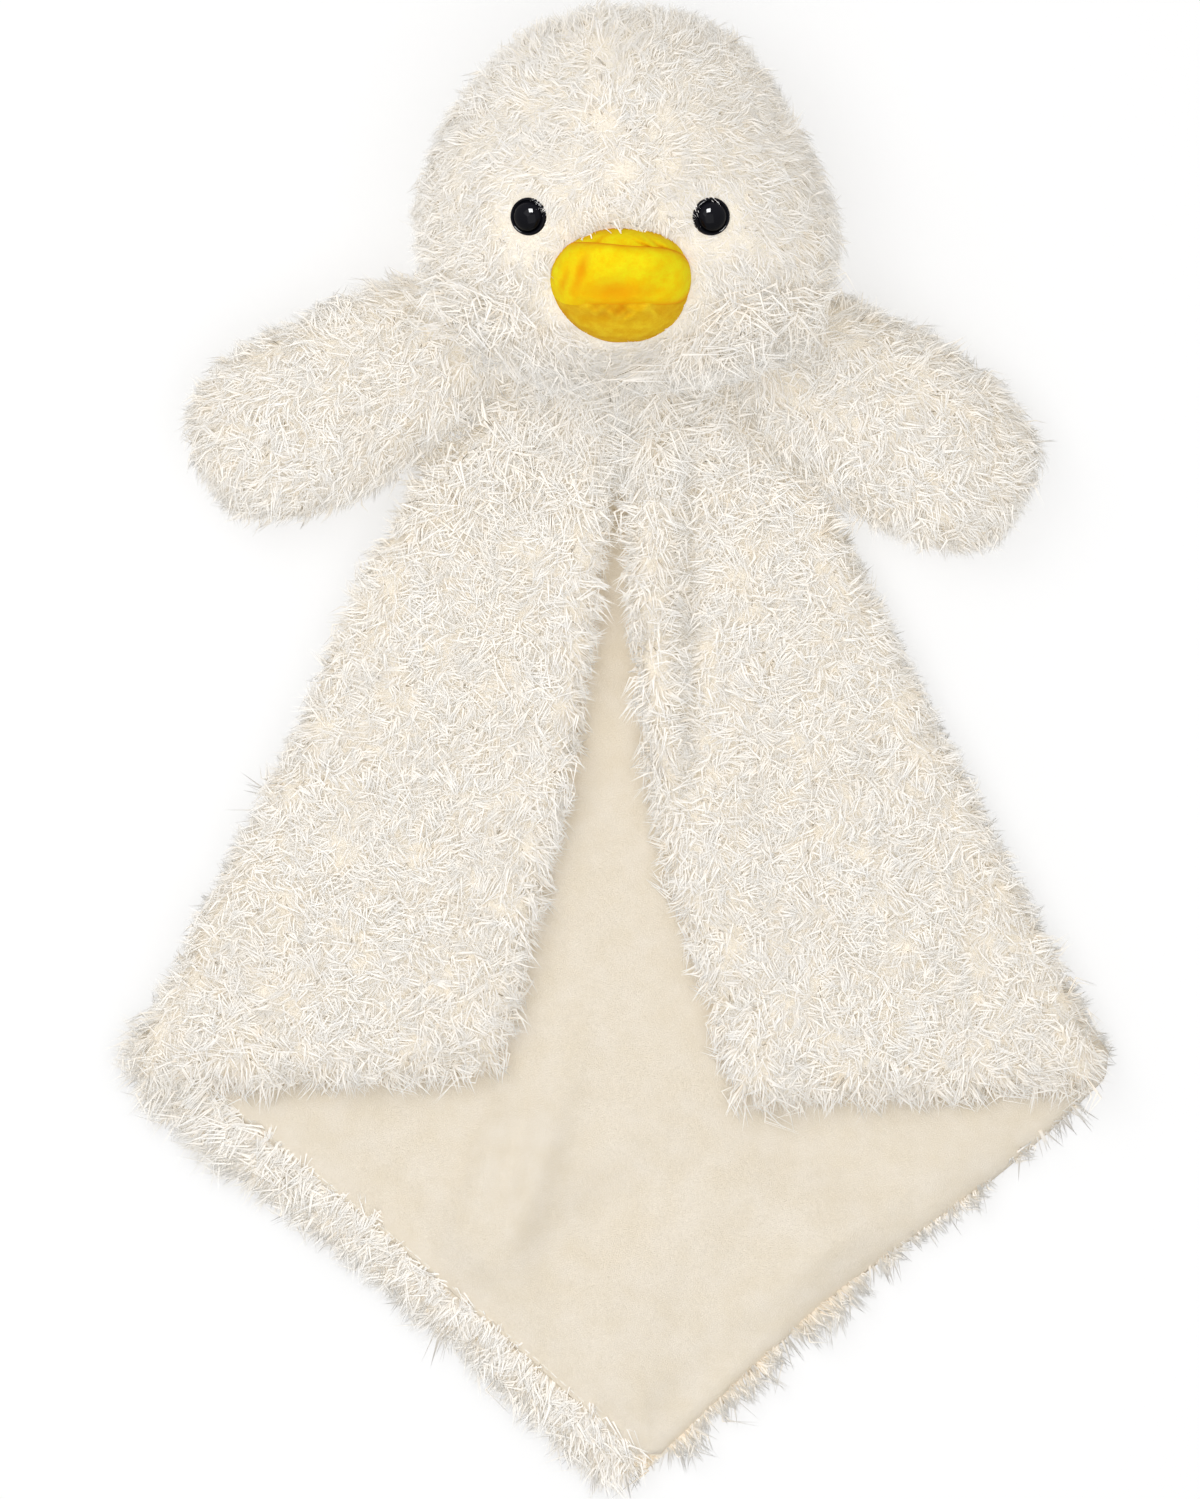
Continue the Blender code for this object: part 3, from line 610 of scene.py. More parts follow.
def grow_locks(roots, normals, comb, pile, draw, length_share=None):
    """The path of each lock: root, bend and tip, with its facing, width and tint."""
    count = len(roots)
    centres = draw.choice(count, max(1, int(count / pile.clump)), replace=False)
    clump = nearest_clump(roots, centres)

    def spread(shared, own):
        """A random amount for each lock, in part the same all over its clump."""
        return draw.normal(0, shared, len(centres))[clump] + draw.normal(0, own, count)

    swirl = ripple(draw, pile.swirl_size)(roots) * pile.swirl
    angle = swirl + spread(pile.stray, pile.stray * TURN_OWN_SHARE)
    combed = comb(roots, normals)
    combed = unit(combed - (combed * normals).sum(axis=1, keepdims=True) * normals)
    along = turned(combed, normals, np.radians(angle))
    lean = pile.lean + spread(LEAN_SPREAD, LEAN_OWN_SPREAD)
    lean = lean - WISP_LIFT * (draw.random(count) < WISP_SHARE)
    lean = np.radians(np.clip(lean, *LEAN_LIMITS))
    length = pile.length * np.clip(1 + spread(LENGTH_SPREAD, LENGTH_OWN_SPREAD), *LENGTH_LIMITS)
    if length_share is not None:
        length = length * length_share(roots, normals)
    reach = length[:, None]
    across = np.cross(normals, along)
    up = np.cos(lean)[:, None]
    over = np.sin(lean)[:, None]
    tips = roots + reach * (along * over + normals * up)
    curl = spread(pile.curl, pile.curl * CURL_OWN_SHARE)[:, None]
    bends = roots + reach * (normals * (up * BEND_UP_SHARE + BEND_RISE_SHARE)
                             + along * over * BEND_OVER_SHARE + across * curl)
    home = centres[clump]
    apart = roots - roots[home]
    pull = pile.pull * draw.uniform(*PULL_SPAN, count) * (length / np.maximum(length[home], MM))
    tips = mix(tips, tips[home] + apart * CLUMP_TIP_SHARE, np.clip(pull[:, None], 0, PULL_MOST))
    tips += draw.normal(0, TIP_JITTER, (count, 3))
    width = pile.width / 2 * draw.uniform(*WIDTH_SPAN, count)
    tint = 0.5 + TINT_SPREAD * ripple(draw, TINT_SIZE)(roots) + spread(TINT_SPREAD, TINT_OWN_SPREAD)
    return roots, bends, tips, normals, width, np.clip(tint, *TINT_LIMITS)


def lock_mesh(name, locks, form, draw, soft):
    """All the locks of one piece of fur, as one mesh."""
    unit_corners, unit_faces = form
    roots, bends, tips, normals, width, tint = locks
    count = len(roots)
    level = unit_corners[:, 2][None, :, None]
    first, middle, last = roots[:, None], bends[:, None], tips[:, None]
    path = first * (1 - level) ** 2 + middle * (2 * level * (1 - level)) + last * level ** 2
    heading = unit((middle - first) * (1 - level) + (last - middle) * level)
    side = unit(np.cross((normals + draw.normal(0, FACING_SPREAD, (count, 3)))[:, None], heading))
    thick = np.cross(heading, side)
    wide = width[:, None, None]
    points = path + side * (unit_corners[:, 0][None, :, None] * wide)
    points = points + thick * (unit_corners[:, 1][None, :, None] * wide * LOCK_FLAT_SHARE)
    points[..., 2] = np.maximum(points[..., 2], FLOOR_CLEAR * (1 + unit_corners[:, 1][None, :]))
    corners = len(unit_corners)
    sizes = np.array([len(face) for face in unit_faces])
    order = np.concatenate([np.array(face) for face in unit_faces])
    loops = (np.arange(count)[:, None] * corners + order[None, :]).ravel()
    starts = np.concatenate([[0], np.cumsum(np.tile(sizes, count))[:-1]])
    data = bpy.data.meshes.new(name)
    data.vertices.add(count * corners)
    write_rows(data.vertices, "co", points)
    data.loops.add(len(loops))
    data.loops.foreach_set("vertex_index", loops.astype(np.int32))
    data.polygons.add(len(starts))
    data.polygons.foreach_set("loop_start", starts.astype(np.int32))
    data.update(calc_edges=True)
    layer = data.uv_layers.new(name="OFBake")
    u = tint[:, None] + LOCK_MAP_HALF * unit_corners[order, 0][None, :]
    v = np.broadcast_to(unit_corners[order, 2][None, :], u.shape)
    write_rows(layer.data, "uv", np.stack([u, v], axis=-1))
    outward = side * unit_corners[:, 0][None, :, None] + thick * unit_corners[:, 1][None, :, None]
    lifted = unit(normals + np.array([0, 0, LIGHT_LIFT]))
    share = soft * smooth_step(normals[:, 2] * SOFT_SLOPE + SOFT_START)[:, None, None]
    shading = unit(mix(unit(outward), np.broadcast_to(lifted[:, None], outward.shape), share))
    data.shade_smooth()
    data.normals_split_custom_set_from_vertices(shading.reshape(-1, 3))
    return data


def grow_fur(name, skin, pile, comb, body=None, keep=None, length_share=None, seed=0,
             soft=SOFT_LIGHT_SHARE):
    """Fur on a skin. It is split from the crown to the tail, so that no piece is too large."""
    draw = np.random.default_rng(SEED + seed)
    coat = pile._replace(width=pile.width * COAT_WIDTH_SHARE, length=pile.length * COAT_LENGTH_SHARE)
    kinds = (("fur", pile, pile.density, CURVED_LOCK, soft * CURVED_SOFT_SHARE),
             ("coat", coat, pile.coat, STRAIGHT_LOCK, soft))
    pieces = []
    for ending, some_pile, density, form, share in kinds:
        if density == 0:
            continue
        roots, normals = scatter(skin, density, draw, keep)
        locks = grow_locks(roots - normals * ROOT_DEPTH, normals, comb, some_pile, draw, length_share)
        triangles = len(roots) * (2 * len(form[0]) - 4)
        parts = math.ceil(triangles / PIECE_TRIANGLES)
        order = np.argsort(-roots[:, 1])
        for number, some in enumerate(np.array_split(order, parts)):
            full = f"{name}_{ending}" if parts == 1 else f"{name}_{ending}_{number + 1}"
            data = lock_mesh(full, [field[some] for field in locks], form, draw, share)
            pieces.append(place_piece(full, data, FUR, body))
    return pieces


# Head


HEAD_SINK = -1.2 * MM
HEAD_LUMPS = 0.5 * MM
CROWN_SHARE = 0.65
SLIM_DEPTH = 5 * MM
SLIM_WIDE = 40 * MM
SLIM_UP = 20 * MM
SLIM_HALF = 26 * MM
FACE_EDGE_Z = 32 * MM
CHIN_Y = 34 * MM
CHIN_Z = 42 * MM
CHIN_FADE = 18 * MM
EYE_CLEAR = 6.2 * MM
EYE_FADE = 8 * MM

# Fur round the beak, where a nearness of 1 is its edge
BEAK_CLEAR = 0.9
BEAK_TUCKED = 0.13
BEAK_TUCK_FADE = 8 * MM
BEAK_FADE = 0.5
BROW_AT = 0.97
BROW_HALF = 0.13
BROW_PAST = 3 * MM
BROW_SPAN_SHARE = 0.6
CHIN_CLEAR = 1.45
FAR_OFF = 9

# The comb: away from the crown and down the face, with a soft random field, ruffled at the crown
PARTING_FADE = 36 * MM
DOWN_FADE = 40 * MM
RUFFLE_REACH = 26 * MM
FIELD_SIZE = 30 * MM
FIELD_SHARE = 0.35
RUFFLE_SIZE = 7 * MM
FIELDS_APART = 300 * MM


def random_field(seed, size):
    """A smooth random direction at every place."""
    wave = ripple(np.random.default_rng(seed), size)
    return lambda places: np.stack([wave(places + step * FIELDS_APART) for step in range(3)], axis=1)


def make_head():
    nodes = [f"head_{part}_{hand}" for part in ("face", "nape") for hand in HANDS]
    low, high = box_of(*nodes)
    centre = (low + high) / 2

    def settle(place):
        """The head is a little slimmer at the upper right than its solid."""
        beside = smooth_step((place.x - centre[0]) / SLIM_WIDE)
        along = math.exp(-((place.y - centre[1] - SLIM_UP) / SLIM_HALF) ** 2)
        return (-SLIM_DEPTH * beside * along, 0, 0)

    skin = make_skin("head_skin", [*nodes, "head_stuffing"], HEAD_CELL, HEAD_SINK, BACKING, "head",
                     "cream_fur", lumps=HEAD_LUMPS, settle=settle)
    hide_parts(*nodes)
    beak_low, beak_high = box_of("beak_upper", "beak_lower", "beak_bridge")
    beak = (beak_low + beak_high) / 2
    beak_half = (beak_high - beak_low) / 2
    seats = [np.array(eye_frame(hand)[0]) for hand in HANDS]

    def near_beak(places):
        across = (places[:, 0] - beak[0]) / beak_half[0]
        along = (places[:, 1] - beak[1]) / beak_half[1]
        return np.where(places[:, 2] > centre[2], np.hypot(across, along), FAR_OFF)

    def near_eye(places):
        return np.min([np.linalg.norm(places - seat, axis=1) for seat in seats], axis=0)

    def by_chin(places):
        return smooth_step((CHIN_Y - places[:, 1]) / CHIN_FADE)

    def face_keep(places, normals):
        edge = BEAK_CLEAR - BEAK_TUCKED * smooth_step((beak[1] - places[:, 1]) / BEAK_TUCK_FADE)
        clear = (near_beak(places) > edge) & (near_eye(places) > EYE_CLEAR)
        return clear & (places[:, 2] > FACE_EDGE_Z)

    def length_share(places, normals):
        """Short by the eyes and the beak, long under the chin."""
        by_beak = smooth_step((near_beak(places) - BEAK_CLEAR) / BEAK_FADE)
        by_eye = smooth_step((near_eye(places) - EYE_CLEAR) / EYE_FADE)
        return (0.45 + 0.55 * by_beak * by_eye) * (1 + 0.8 * by_chin(places) * by_beak)

    crown = np.array([centre[0], low[1] + CROWN_SHARE * (high[1] - low[1]), high[2]])
    field = random_field(SEED, FIELD_SIZE)
    ruffle = random_field(SEED + 1, RUFFLE_SIZE)

    def comb(places, normals):
        away = places - crown
        far = np.linalg.norm(away, axis=1, keepdims=True)
        away = unit(away) * (0.35 + 0.65 * smooth_step(far / PARTING_FADE))
        down = np.array([0, -1, -0.4])
        lift = np.array([0, -0.4, 1])
        below = smooth_step((crown[1] - places[:, 1]) / DOWN_FADE)[:, None]
        ruffled = ruffle(places) * (1 - smooth_step(far / RUFFLE_REACH))
        combed = away + down * (0.15 + 0.4 * below) + FIELD_SHARE * field(places)
        return combed + lift * by_chin(places)[:, None] + ruffled

    def nape_keep(places, normals):
        return places[:, 2] <= FACE_EDGE_Z

    def brow_keep(places, normals):
        """The left half of the beak's upper edge."""
        edge = np.abs(near_beak(places) - BROW_AT) < BROW_HALF
        beside = places[:, 0] - beak[0]
        left_half = (beside < BROW_PAST) & (beside > -BROW_SPAN_SHARE * beak_half[0])
        return edge & left_half & (places[:, 1] > beak[1] + BROW_PAST)

    def brow_comb(places, normals):
        return np.broadcast_to(np.array([0.75, -1, 0.2]), places.shape)

    def chin_keep(places, normals):
        return (places[:, 1] < CHIN_Y) & (places[:, 2] > CHIN_Z) & (near_beak(places) > CHIN_CLEAR)

    grow_fur("face", skin, HEAD_PILE, comb, "head", face_keep, length_share=length_share, seed=1)
    grow_fur("nape", skin, NAPE_PILE, comb, "head", nape_keep, seed=2)
    grow_fur("brow", skin, BROW_PILE, brow_comb, "head", brow_keep, seed=4)
    grow_fur("chin", skin, TUFT_PILE, comb, "head", chin_keep, seed=3)


EYE_RADIUS = 6 * MM
EYE_DOME = 4.2 * MM
EYE_DOME_RADIUS = 4.7 * MM
EYE_DOME_FOOT = 1 * MM
EYE_RIM_EDGE = 0.3 * MM
EYE_COLLAR = 1.5 * MM
SHANK_RADIUS = 1.8 * MM
SHANK_LONG = 9.5 * MM
# The rim's rounded section: distance from the axis and height
EYE_RIM = ((4.85 * MM, 0.8 * MM), (5.0 * MM, 1.3 * MM), (5.25 * MM, 1.65 * MM), (5.55 * MM, 1.6 * MM),
           (5.85 * MM, 1.1 * MM))


def eye_frame(hand):
    """An eye's seat on the face and its outward direction, from the CAD eye."""
    washer = cad_points(f"{hand}_eye_washer")
    middle = washer.mean(axis=0)
    axis = np.linalg.svd(washer - middle)[2][2]
    if axis[2] < 0:
        axis = -axis
    top = ((cad_points(f"{hand}_eye") - middle) @ axis).max()
    return Vector(middle + axis * (top - EYE_DOME)), Vector(axis)


def make_eye(hand):
    """A glossy dome in a raised rim, on a shank."""
    seat, axis = eye_frame(hand)
    profile = [(0, EYE_DOME)]
    for turn in np.linspace(0.12, 1.0, 8) * math.pi / 2:
        rise = (EYE_DOME - EYE_DOME_FOOT) * math.cos(turn)
        profile.append((EYE_DOME_RADIUS * math.sin(turn), EYE_DOME_FOOT + rise))
    profile += [*EYE_RIM, (EYE_RADIUS, EYE_RIM_EDGE), (EYE_RADIUS, -EYE_COLLAR),
                (SHANK_RADIUS, -EYE_COLLAR), (SHANK_RADIUS, -SHANK_LONG), (0, -SHANK_LONG)]
    eye = bmesh.new()
    verts = [eye.verts.new((radius, 0, height)) for radius, height in profile]
    edges = [eye.edges.new(pair) for pair in zip(verts, verts[1:])]
    bmesh.ops.spin(eye, geom=verts + edges, cent=(0, 0, 0), axis=(0, 0, 1), angle=2 * math.pi, steps=64,
                   use_merge=True, use_duplicate=False)
    bmesh.ops.remove_doubles(eye, verts=eye.verts[:], dist=WELD)
    bmesh.ops.recalc_face_normals(eye, faces=eye.faces[:])
    eye.transform(Matrix.Translation(seat) @ axis.to_track_quat("Z", "Y").to_matrix().to_4x4())
    made = new_piece(f"{hand}_eye_dome", eye, EYE_PLASTIC, "head")
    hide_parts(f"{hand}_eye")


# Beak


BEAK_CORNER_SHARE = 0.56
BEAK_LEFT_POWERS = (2, 1.9)
BEAK_RIGHT_POWERS = (2.35, 2.25)
BEAK_DOME_POWER = 2.3
BEAK_PLUMP = 1.04
BEAK_PROUD = 23 * MM
BEAK_TILT = 20 * MM
BEAK_BACK = 6 * MM
BEAK_LUMP = 0.3 * MM
BEAK_LUMP_SIZE = 9 * MM
BEAK_EDGE = 0.999
BRIDGE_SINK = 3.2 * MM
LIP_SINK = 1.6 * MM
TUCK_CENTRE_SHARE = 0.15
TUCK_HALF_SHARE = 0.9
TUCK_WIDE = 6.3 * MM
MOUTH_DROP = 7.9 * MM
LAP_UNDER = 2.4 * MM
LAP_OVER = 0.5 * MM
SEAM_ROUND = 3 * MM
# The depth of a dent at which its painted shade is full
DEEPEST_SHADE = 1.6 * MM
FRONT_TURN = math.radians(118)
WALL_TURN = math.radians(140)

# A dent: its depth sinks the cloth and paints shade into it; a lump, with a negative depth, is painted
# lighter
Dent = namedtuple("Dent", "across up half_wide half_long lean depth")
UPPER_DENTS = (
    Dent(-0.56, 2.5 * MM, 1.9 * MM, 6 * MM, 0.3, 1.2 * MM),
    Dent(-0.8, -0.6 * MM, 1.3 * MM, 3.6 * MM, 0.3, 0.8 * MM),
    Dent(-0.06, -4.2 * MM, 12 * MM, 3.6 * MM, 0, 1.15 * MM),
    Dent(0.25, 4 * MM, 9 * MM, 4 * MM, 0, -0.9 * MM),
)
BRIDGE_DENTS = (
    Dent(0.76, 6.6 * MM, 1 * MM, 4.5 * MM, -1.3, 1.6 * MM),
    Dent(0.5, 8.4 * MM, 0.9 * MM, 3 * MM, -1.8, 1.2 * MM),
    Dent(-0.35, 10.5 * MM, 1 * MM, 3 * MM, 0.8, 0.8 * MM),
)
# The gathered cloth under the mouth: a sunk strip with painted shade, and round lumps in it whose tops
# are painted lighter
PUCKER_STRIP = Dent(-0.02, -10 * MM, 12.5 * MM, 2.2 * MM, 0, 1.5 * MM)
PUCKER_LUMP_WIDE = 1.45 * MM
PUCKER_LUMP_RISE = 2.1 * MM
LOWER_DENTS = (PUCKER_STRIP,) + tuple(
    Dent(across, -down * MM, PUCKER_LUMP_WIDE * size, PUCKER_LUMP_WIDE * size, lean,
         -PUCKER_LUMP_RISE * size)
    for across, down, size, lean in (
        (-0.5, 9.3, 1.1, 0.3), (-0.38, 10.4, 0.9, -0.3), (-0.27, 9.5, 1, 0.5), (-0.15, 10.6, 1.1, -0.4),
        (-0.06, 9.4, 0.8, 0), (0.04, 10.5, 1, 0.5), (0.13, 9.3, 0.9, -0.3), (0.24, 10.3, 1.5, 0),
        (0.37, 9.2, 1.1, 0.4), (0.47, 10.7, 0.8, -0.5), (0.12, 12.2, 0.9, 0.6)))


class BeakShape:
    """The outline of the whole beak, its folds, and how far it stands out of the face."""

    def __init__(self):
        low, high = box_of("beak_upper", "beak_lower", "beak_bridge")
        self.middle = (low[0] + high[0]) / 2
        self.half = (high[0] - low[0]) / 2 * BEAK_PLUMP
        self.bottom = low[1]
        self.length = high[1] - low[1]
        self.corner = low[1] + BEAK_CORNER_SHARE * self.length
        self.rise = (high[1] - self.corner) * BEAK_PLUMP
        self.drop = (self.corner - low[1]) * BEAK_PLUMP
        self.face = high[2] - BEAK_PROUD - BEAK_TILT * BEAK_CORNER_SHARE

    def power(self, across, upper):
        """How full the outline is, for the upper or lower half: the right side is the fuller."""
        half = 0 if upper else 1
        share = float(smooth_step((across + 0.3) / 0.6))
        return mix(BEAK_LEFT_POWERS[half], BEAK_RIGHT_POWERS[half], share)

    def top(self, across):
        power = self.power(across, True)
        return self.rise * max(1 - abs(across) ** power, 0) ** (1 / power)

    def foot(self, across):
        power = self.power(across, False)
        return -self.drop * max(1 - abs(across) ** power, 0) ** (1 / power)

    def tuck(self, across):
        """The fold between the bridge and the upper bill."""
        off = (across - TUCK_CENTRE_SHARE) / TUCK_HALF_SHARE
        return self.top(across) - TUCK_WIDE * max(1 - off * off, 0)

    def mouth(self, across):
        """The crease between the upper bill and the lower lip."""
        return -MOUTH_DROP * math.sqrt(max(1 - across ** 8, 0))

    def tilt(self, up):
        """How much further the face under the beak stands out at a length above the corners."""
        return BEAK_TILT * (self.corner + up - self.bottom) / self.length

    def level(self, across, up):
        """Height of the soft dome at a place, as a share across and a length above the corners."""
        tall = up / (self.rise if up > 0 else self.drop)
        power = self.power(across, up > 0)
        out = min((abs(across) ** power + abs(tall) ** power) ** (1 / power), 1)
        dome = (1 - out ** BEAK_DOME_POWER) ** (1 / BEAK_DOME_POWER)
        return self.face + self.tilt(up) + BEAK_PROUD * dome


def dent_share(dent, shape, across, up):
    """How much of a dent's depth there is at a place."""
    beside = (across - dent.across) * shape.half
    along = up - dent.up
    off = (beside - dent.lean * along) / dent.half_wide
    return math.exp(-off * off - (along / dent.half_long) ** 2)


def whole(across):
    return 1


def mouth_depth(across):
    """How deep the mouth is: it fades out towards the left corner."""
    return 0.15 + 0.85 * float(smooth_step((across + 0.8) / 0.35))


def spread_ball(place):
    """Where a corner of a ball goes on the flat: shares across and along, and its turn from the front."""
    turn = math.acos(max(-1, min(1, place.z)))
    reach = math.sin(min(turn / FRONT_TURN, 1) * math.pi / 2)
    if turn > WALL_TURN:
        reach = (math.pi - turn) / (math.pi - WALL_TURN)
    flat = math.hypot(place.x, place.y)
    across = reach * place.x / flat if flat > 0 else 0
    tall = reach * place.y / flat if flat > 0 else 0
    share = tall / math.sqrt(max(1 - across * across, 1e-6))
    return max(-BEAK_EDGE, min(BEAK_EDGE, across)), (min(max(share, -1), 1) + 1) / 2, turn


def make_beak_part(name, node, shape, low_edge, high_edge, sink, dents, material,
                   low_depth=whole, high_depth=whole):
    """One soft part of the beak: a ball laid out between two edges, domed, then dented, with painted
    shade in its seams and dents.
    """
    mesh = bmesh.new()
    bmesh.ops.create_uvsphere(mesh, u_segments=108, v_segments=76, radius=1)
    shade = mesh.verts.layers.float.new("painted_fold_shade")
    lump = ripple(np.random.default_rng(SEED + len(name)), BEAK_LUMP_SIZE)
    for vert in mesh.verts:
        across, along, turn = spread_ball(vert.co)
        low, high = low_edge(across), high_edge(across)
        up = mix(low, high, along)
        near_low = min(max(1 - (up - low) / SEAM_ROUND, 0), 1) * low_depth(across)
        near_high = min(max(1 - (high - up) / SEAM_ROUND, 0), 1) * high_depth(across)
        near = max(near_low, near_high)
        level = shape.level(across, up) - sink * min(low_depth(across), high_depth(across))
        level -= SEAM_ROUND * (1 - math.sqrt(1 - near * near))
        # Painted shade: darker near the seams and in the dents, lighter on the lumps
        painted_shade = 0.5 * near ** 2 + 0.6 * near ** 8
        level += BEAK_LUMP * lump(np.array([[across * shape.half, up, 0]]))[0]
        for dent in dents:
            part = dent_share(dent, shape, across, up)
            level -= dent.depth * part
            painted_shade += part * (max(dent.depth, 0) + 0.45 * min(dent.depth, 0)) / DEEPEST_SHADE
        if turn > FRONT_TURN:
            back = shape.face + shape.tilt(up) - BEAK_BACK
            level = mix(level, back, min((turn - FRONT_TURN) / (WALL_TURN - FRONT_TURN), 1))
        vert[shade] = min(max(painted_shade, 0), 1)
        vert.co = (shape.middle + across * shape.half, shape.corner + up, level)
    soften(mesh)
    bmesh.ops.recalc_face_normals(mesh, faces=mesh.faces[:])
    made = new_piece(name, mesh, material, "head")
    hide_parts(node)


def make_beak():
    shape = BeakShape()
    make_beak_part("beak_bridge_plush", "beak_bridge", shape,
                   lambda across: shape.tuck(across) - LAP_UNDER * (1 - across ** 2), shape.top,
                   BRIDGE_SINK, BRIDGE_DENTS, BEAK_PLUSH)
    make_beak_part("beak_upper_plush", "beak_upper", shape,
                   lambda across: shape.mouth(across) - LAP_OVER,
                   lambda across: min(shape.tuck(across) + LAP_OVER, shape.top(across)),
                   0, UPPER_DENTS, BEAK_PLUSH, low_depth=mouth_depth)
    make_beak_part("beak_lower_plush", "beak_lower", shape, shape.foot,
                   lambda across: shape.mouth(across) + LAP_UNDER * (1 - across ** 2),
                   LIP_SINK, LOWER_DENTS, SHADED_LIP_PLUSH, high_depth=mouth_depth)


# Wings


WING_SHIFTS = {"left": (4 * MM, -2.5 * MM, 0), "right": (0, 2 * MM, 0)}
WING_SHIFT_FADE = 50 * MM
WING_SINK = -0.8 * MM
WING_LUMPS = 0.8 * MM
WING_COMB_FADE = 60 * MM
WING_BELOW_SHARE = 0.25


def make_wing(hand, number):
    nodes = [f"{hand}_wing_top", f"{hand}_wing_under"]
    body = f"{hand}_wing"
    place, axis = joint_of(f"{hand}_wing_lift")
    place = np.array(place)
    outward = np.array(Vector(axis).cross(Vector((0, 0, 1))))
    sign = SIDE_SIGN[hand]
    if outward[0] * sign < 0:
        outward = -outward
    shift = Vector(WING_SHIFTS[hand])

    def settle(spot):
        """The tip lies a little off the solid's."""
        return shift * float(smooth_step((np.array(spot) - place) @ outward / WING_SHIFT_FADE))

    skin = make_skin(f"{hand}_wing_skin", [*nodes, f"{hand}_wing_stuffing"], HEAD_CELL, WING_SINK,
                     BACKING, body, "cream_fur", lumps=WING_LUMPS, settle=settle)
    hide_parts(*nodes)

    def comb(places, normals):
        share = smooth_step(((places - place) @ outward) / WING_COMB_FADE)[:, None]
        down = np.array([sign * 0.3, -1, -0.1])
        return outward * (1 - 0.35 * share) + down * (0.25 + 0.35 * share)

    def keep(places, normals):
        """Thinner fur where the wing faces down."""
        return np.where(normals[:, 2] > -0.3, 1, WING_BELOW_SHARE)

    grow_fur(f"{hand}_wing", skin, WING_PILE, comb, body, keep, seed=10 + number)


# Front cloths


FRONT_SINK = 0.3 * MM
FRONT_LUMPS = 0.7 * MM
NECK_CLOSED_Y = -24 * MM
NECK_FADE = 8 * MM
NECK_CLOSED_HALF = 3 * MM
NECK_BESIDE_FADE = 12 * MM
CHEST_Y = -42 * MM
CHEST_FADE = 30 * MM
GROOVE_X = 21.5 * MM
GROOVE_TOP_Y = -4 * MM
GROOVE_END_Y = -135 * MM
GROOVE_FADE = 26 * MM
GROOVE_HALF = 4.5 * MM
GROOVE_DEPTH = 6.5 * MM
GROOVE_UNDER_Z = 12 * MM
GROOVE_RISE = 5 * MM
ROLL_OFF = 11 * MM
ROLL_HALF = 7 * MM
ROLL_RISE = 3 * MM

Push = namedtuple("Push", "x y half move")
SIDE_PUSHES = (Push(-56 * MM, -16 * MM, 13 * MM, 4.5 * MM), Push(-76 * MM, -58 * MM, 34 * MM, 4.5 * MM))


def groove_share(x, y):
    """How much of the groove there is at a place on the right front, and how much of its length."""
    fade = smooth_step((GROOVE_TOP_Y - y) / GROOVE_FADE) * smooth_step((y - GROOVE_END_Y) / GROOVE_FADE)
    return fade * np.exp(-((x - GROOVE_X) / GROOVE_HALF) ** 2), fade


def roll_and_groove(place):
    """The right front's inner edge is rolled over: a soft roll, and a groove beside it."""
    groove, fade = groove_share(place.x, place.y)
    roll = fade * np.exp(-((place.x - GROOVE_X + ROLL_OFF) / ROLL_HALF) ** 2)
    upper = smooth_step((place.z - GROOVE_UNDER_Z) / GROOVE_RISE)
    return (0, 0, float(upper * (ROLL_RISE * roll - GROOVE_DEPTH * groove)))


def fuller_side(place):
    """The left front reaches further out, under the wing and along its side."""
    move = 0
    for push in SIDE_PUSHES:
        off = math.hypot(place.x - push.x, place.y - push.y) / push.half
        move += push.move * math.exp(-off * off)
    return (-0.8 * move, 0.6 * move, 0)


FRONT_SETTLES = {"left": fuller_side, "right": roll_and_groove}


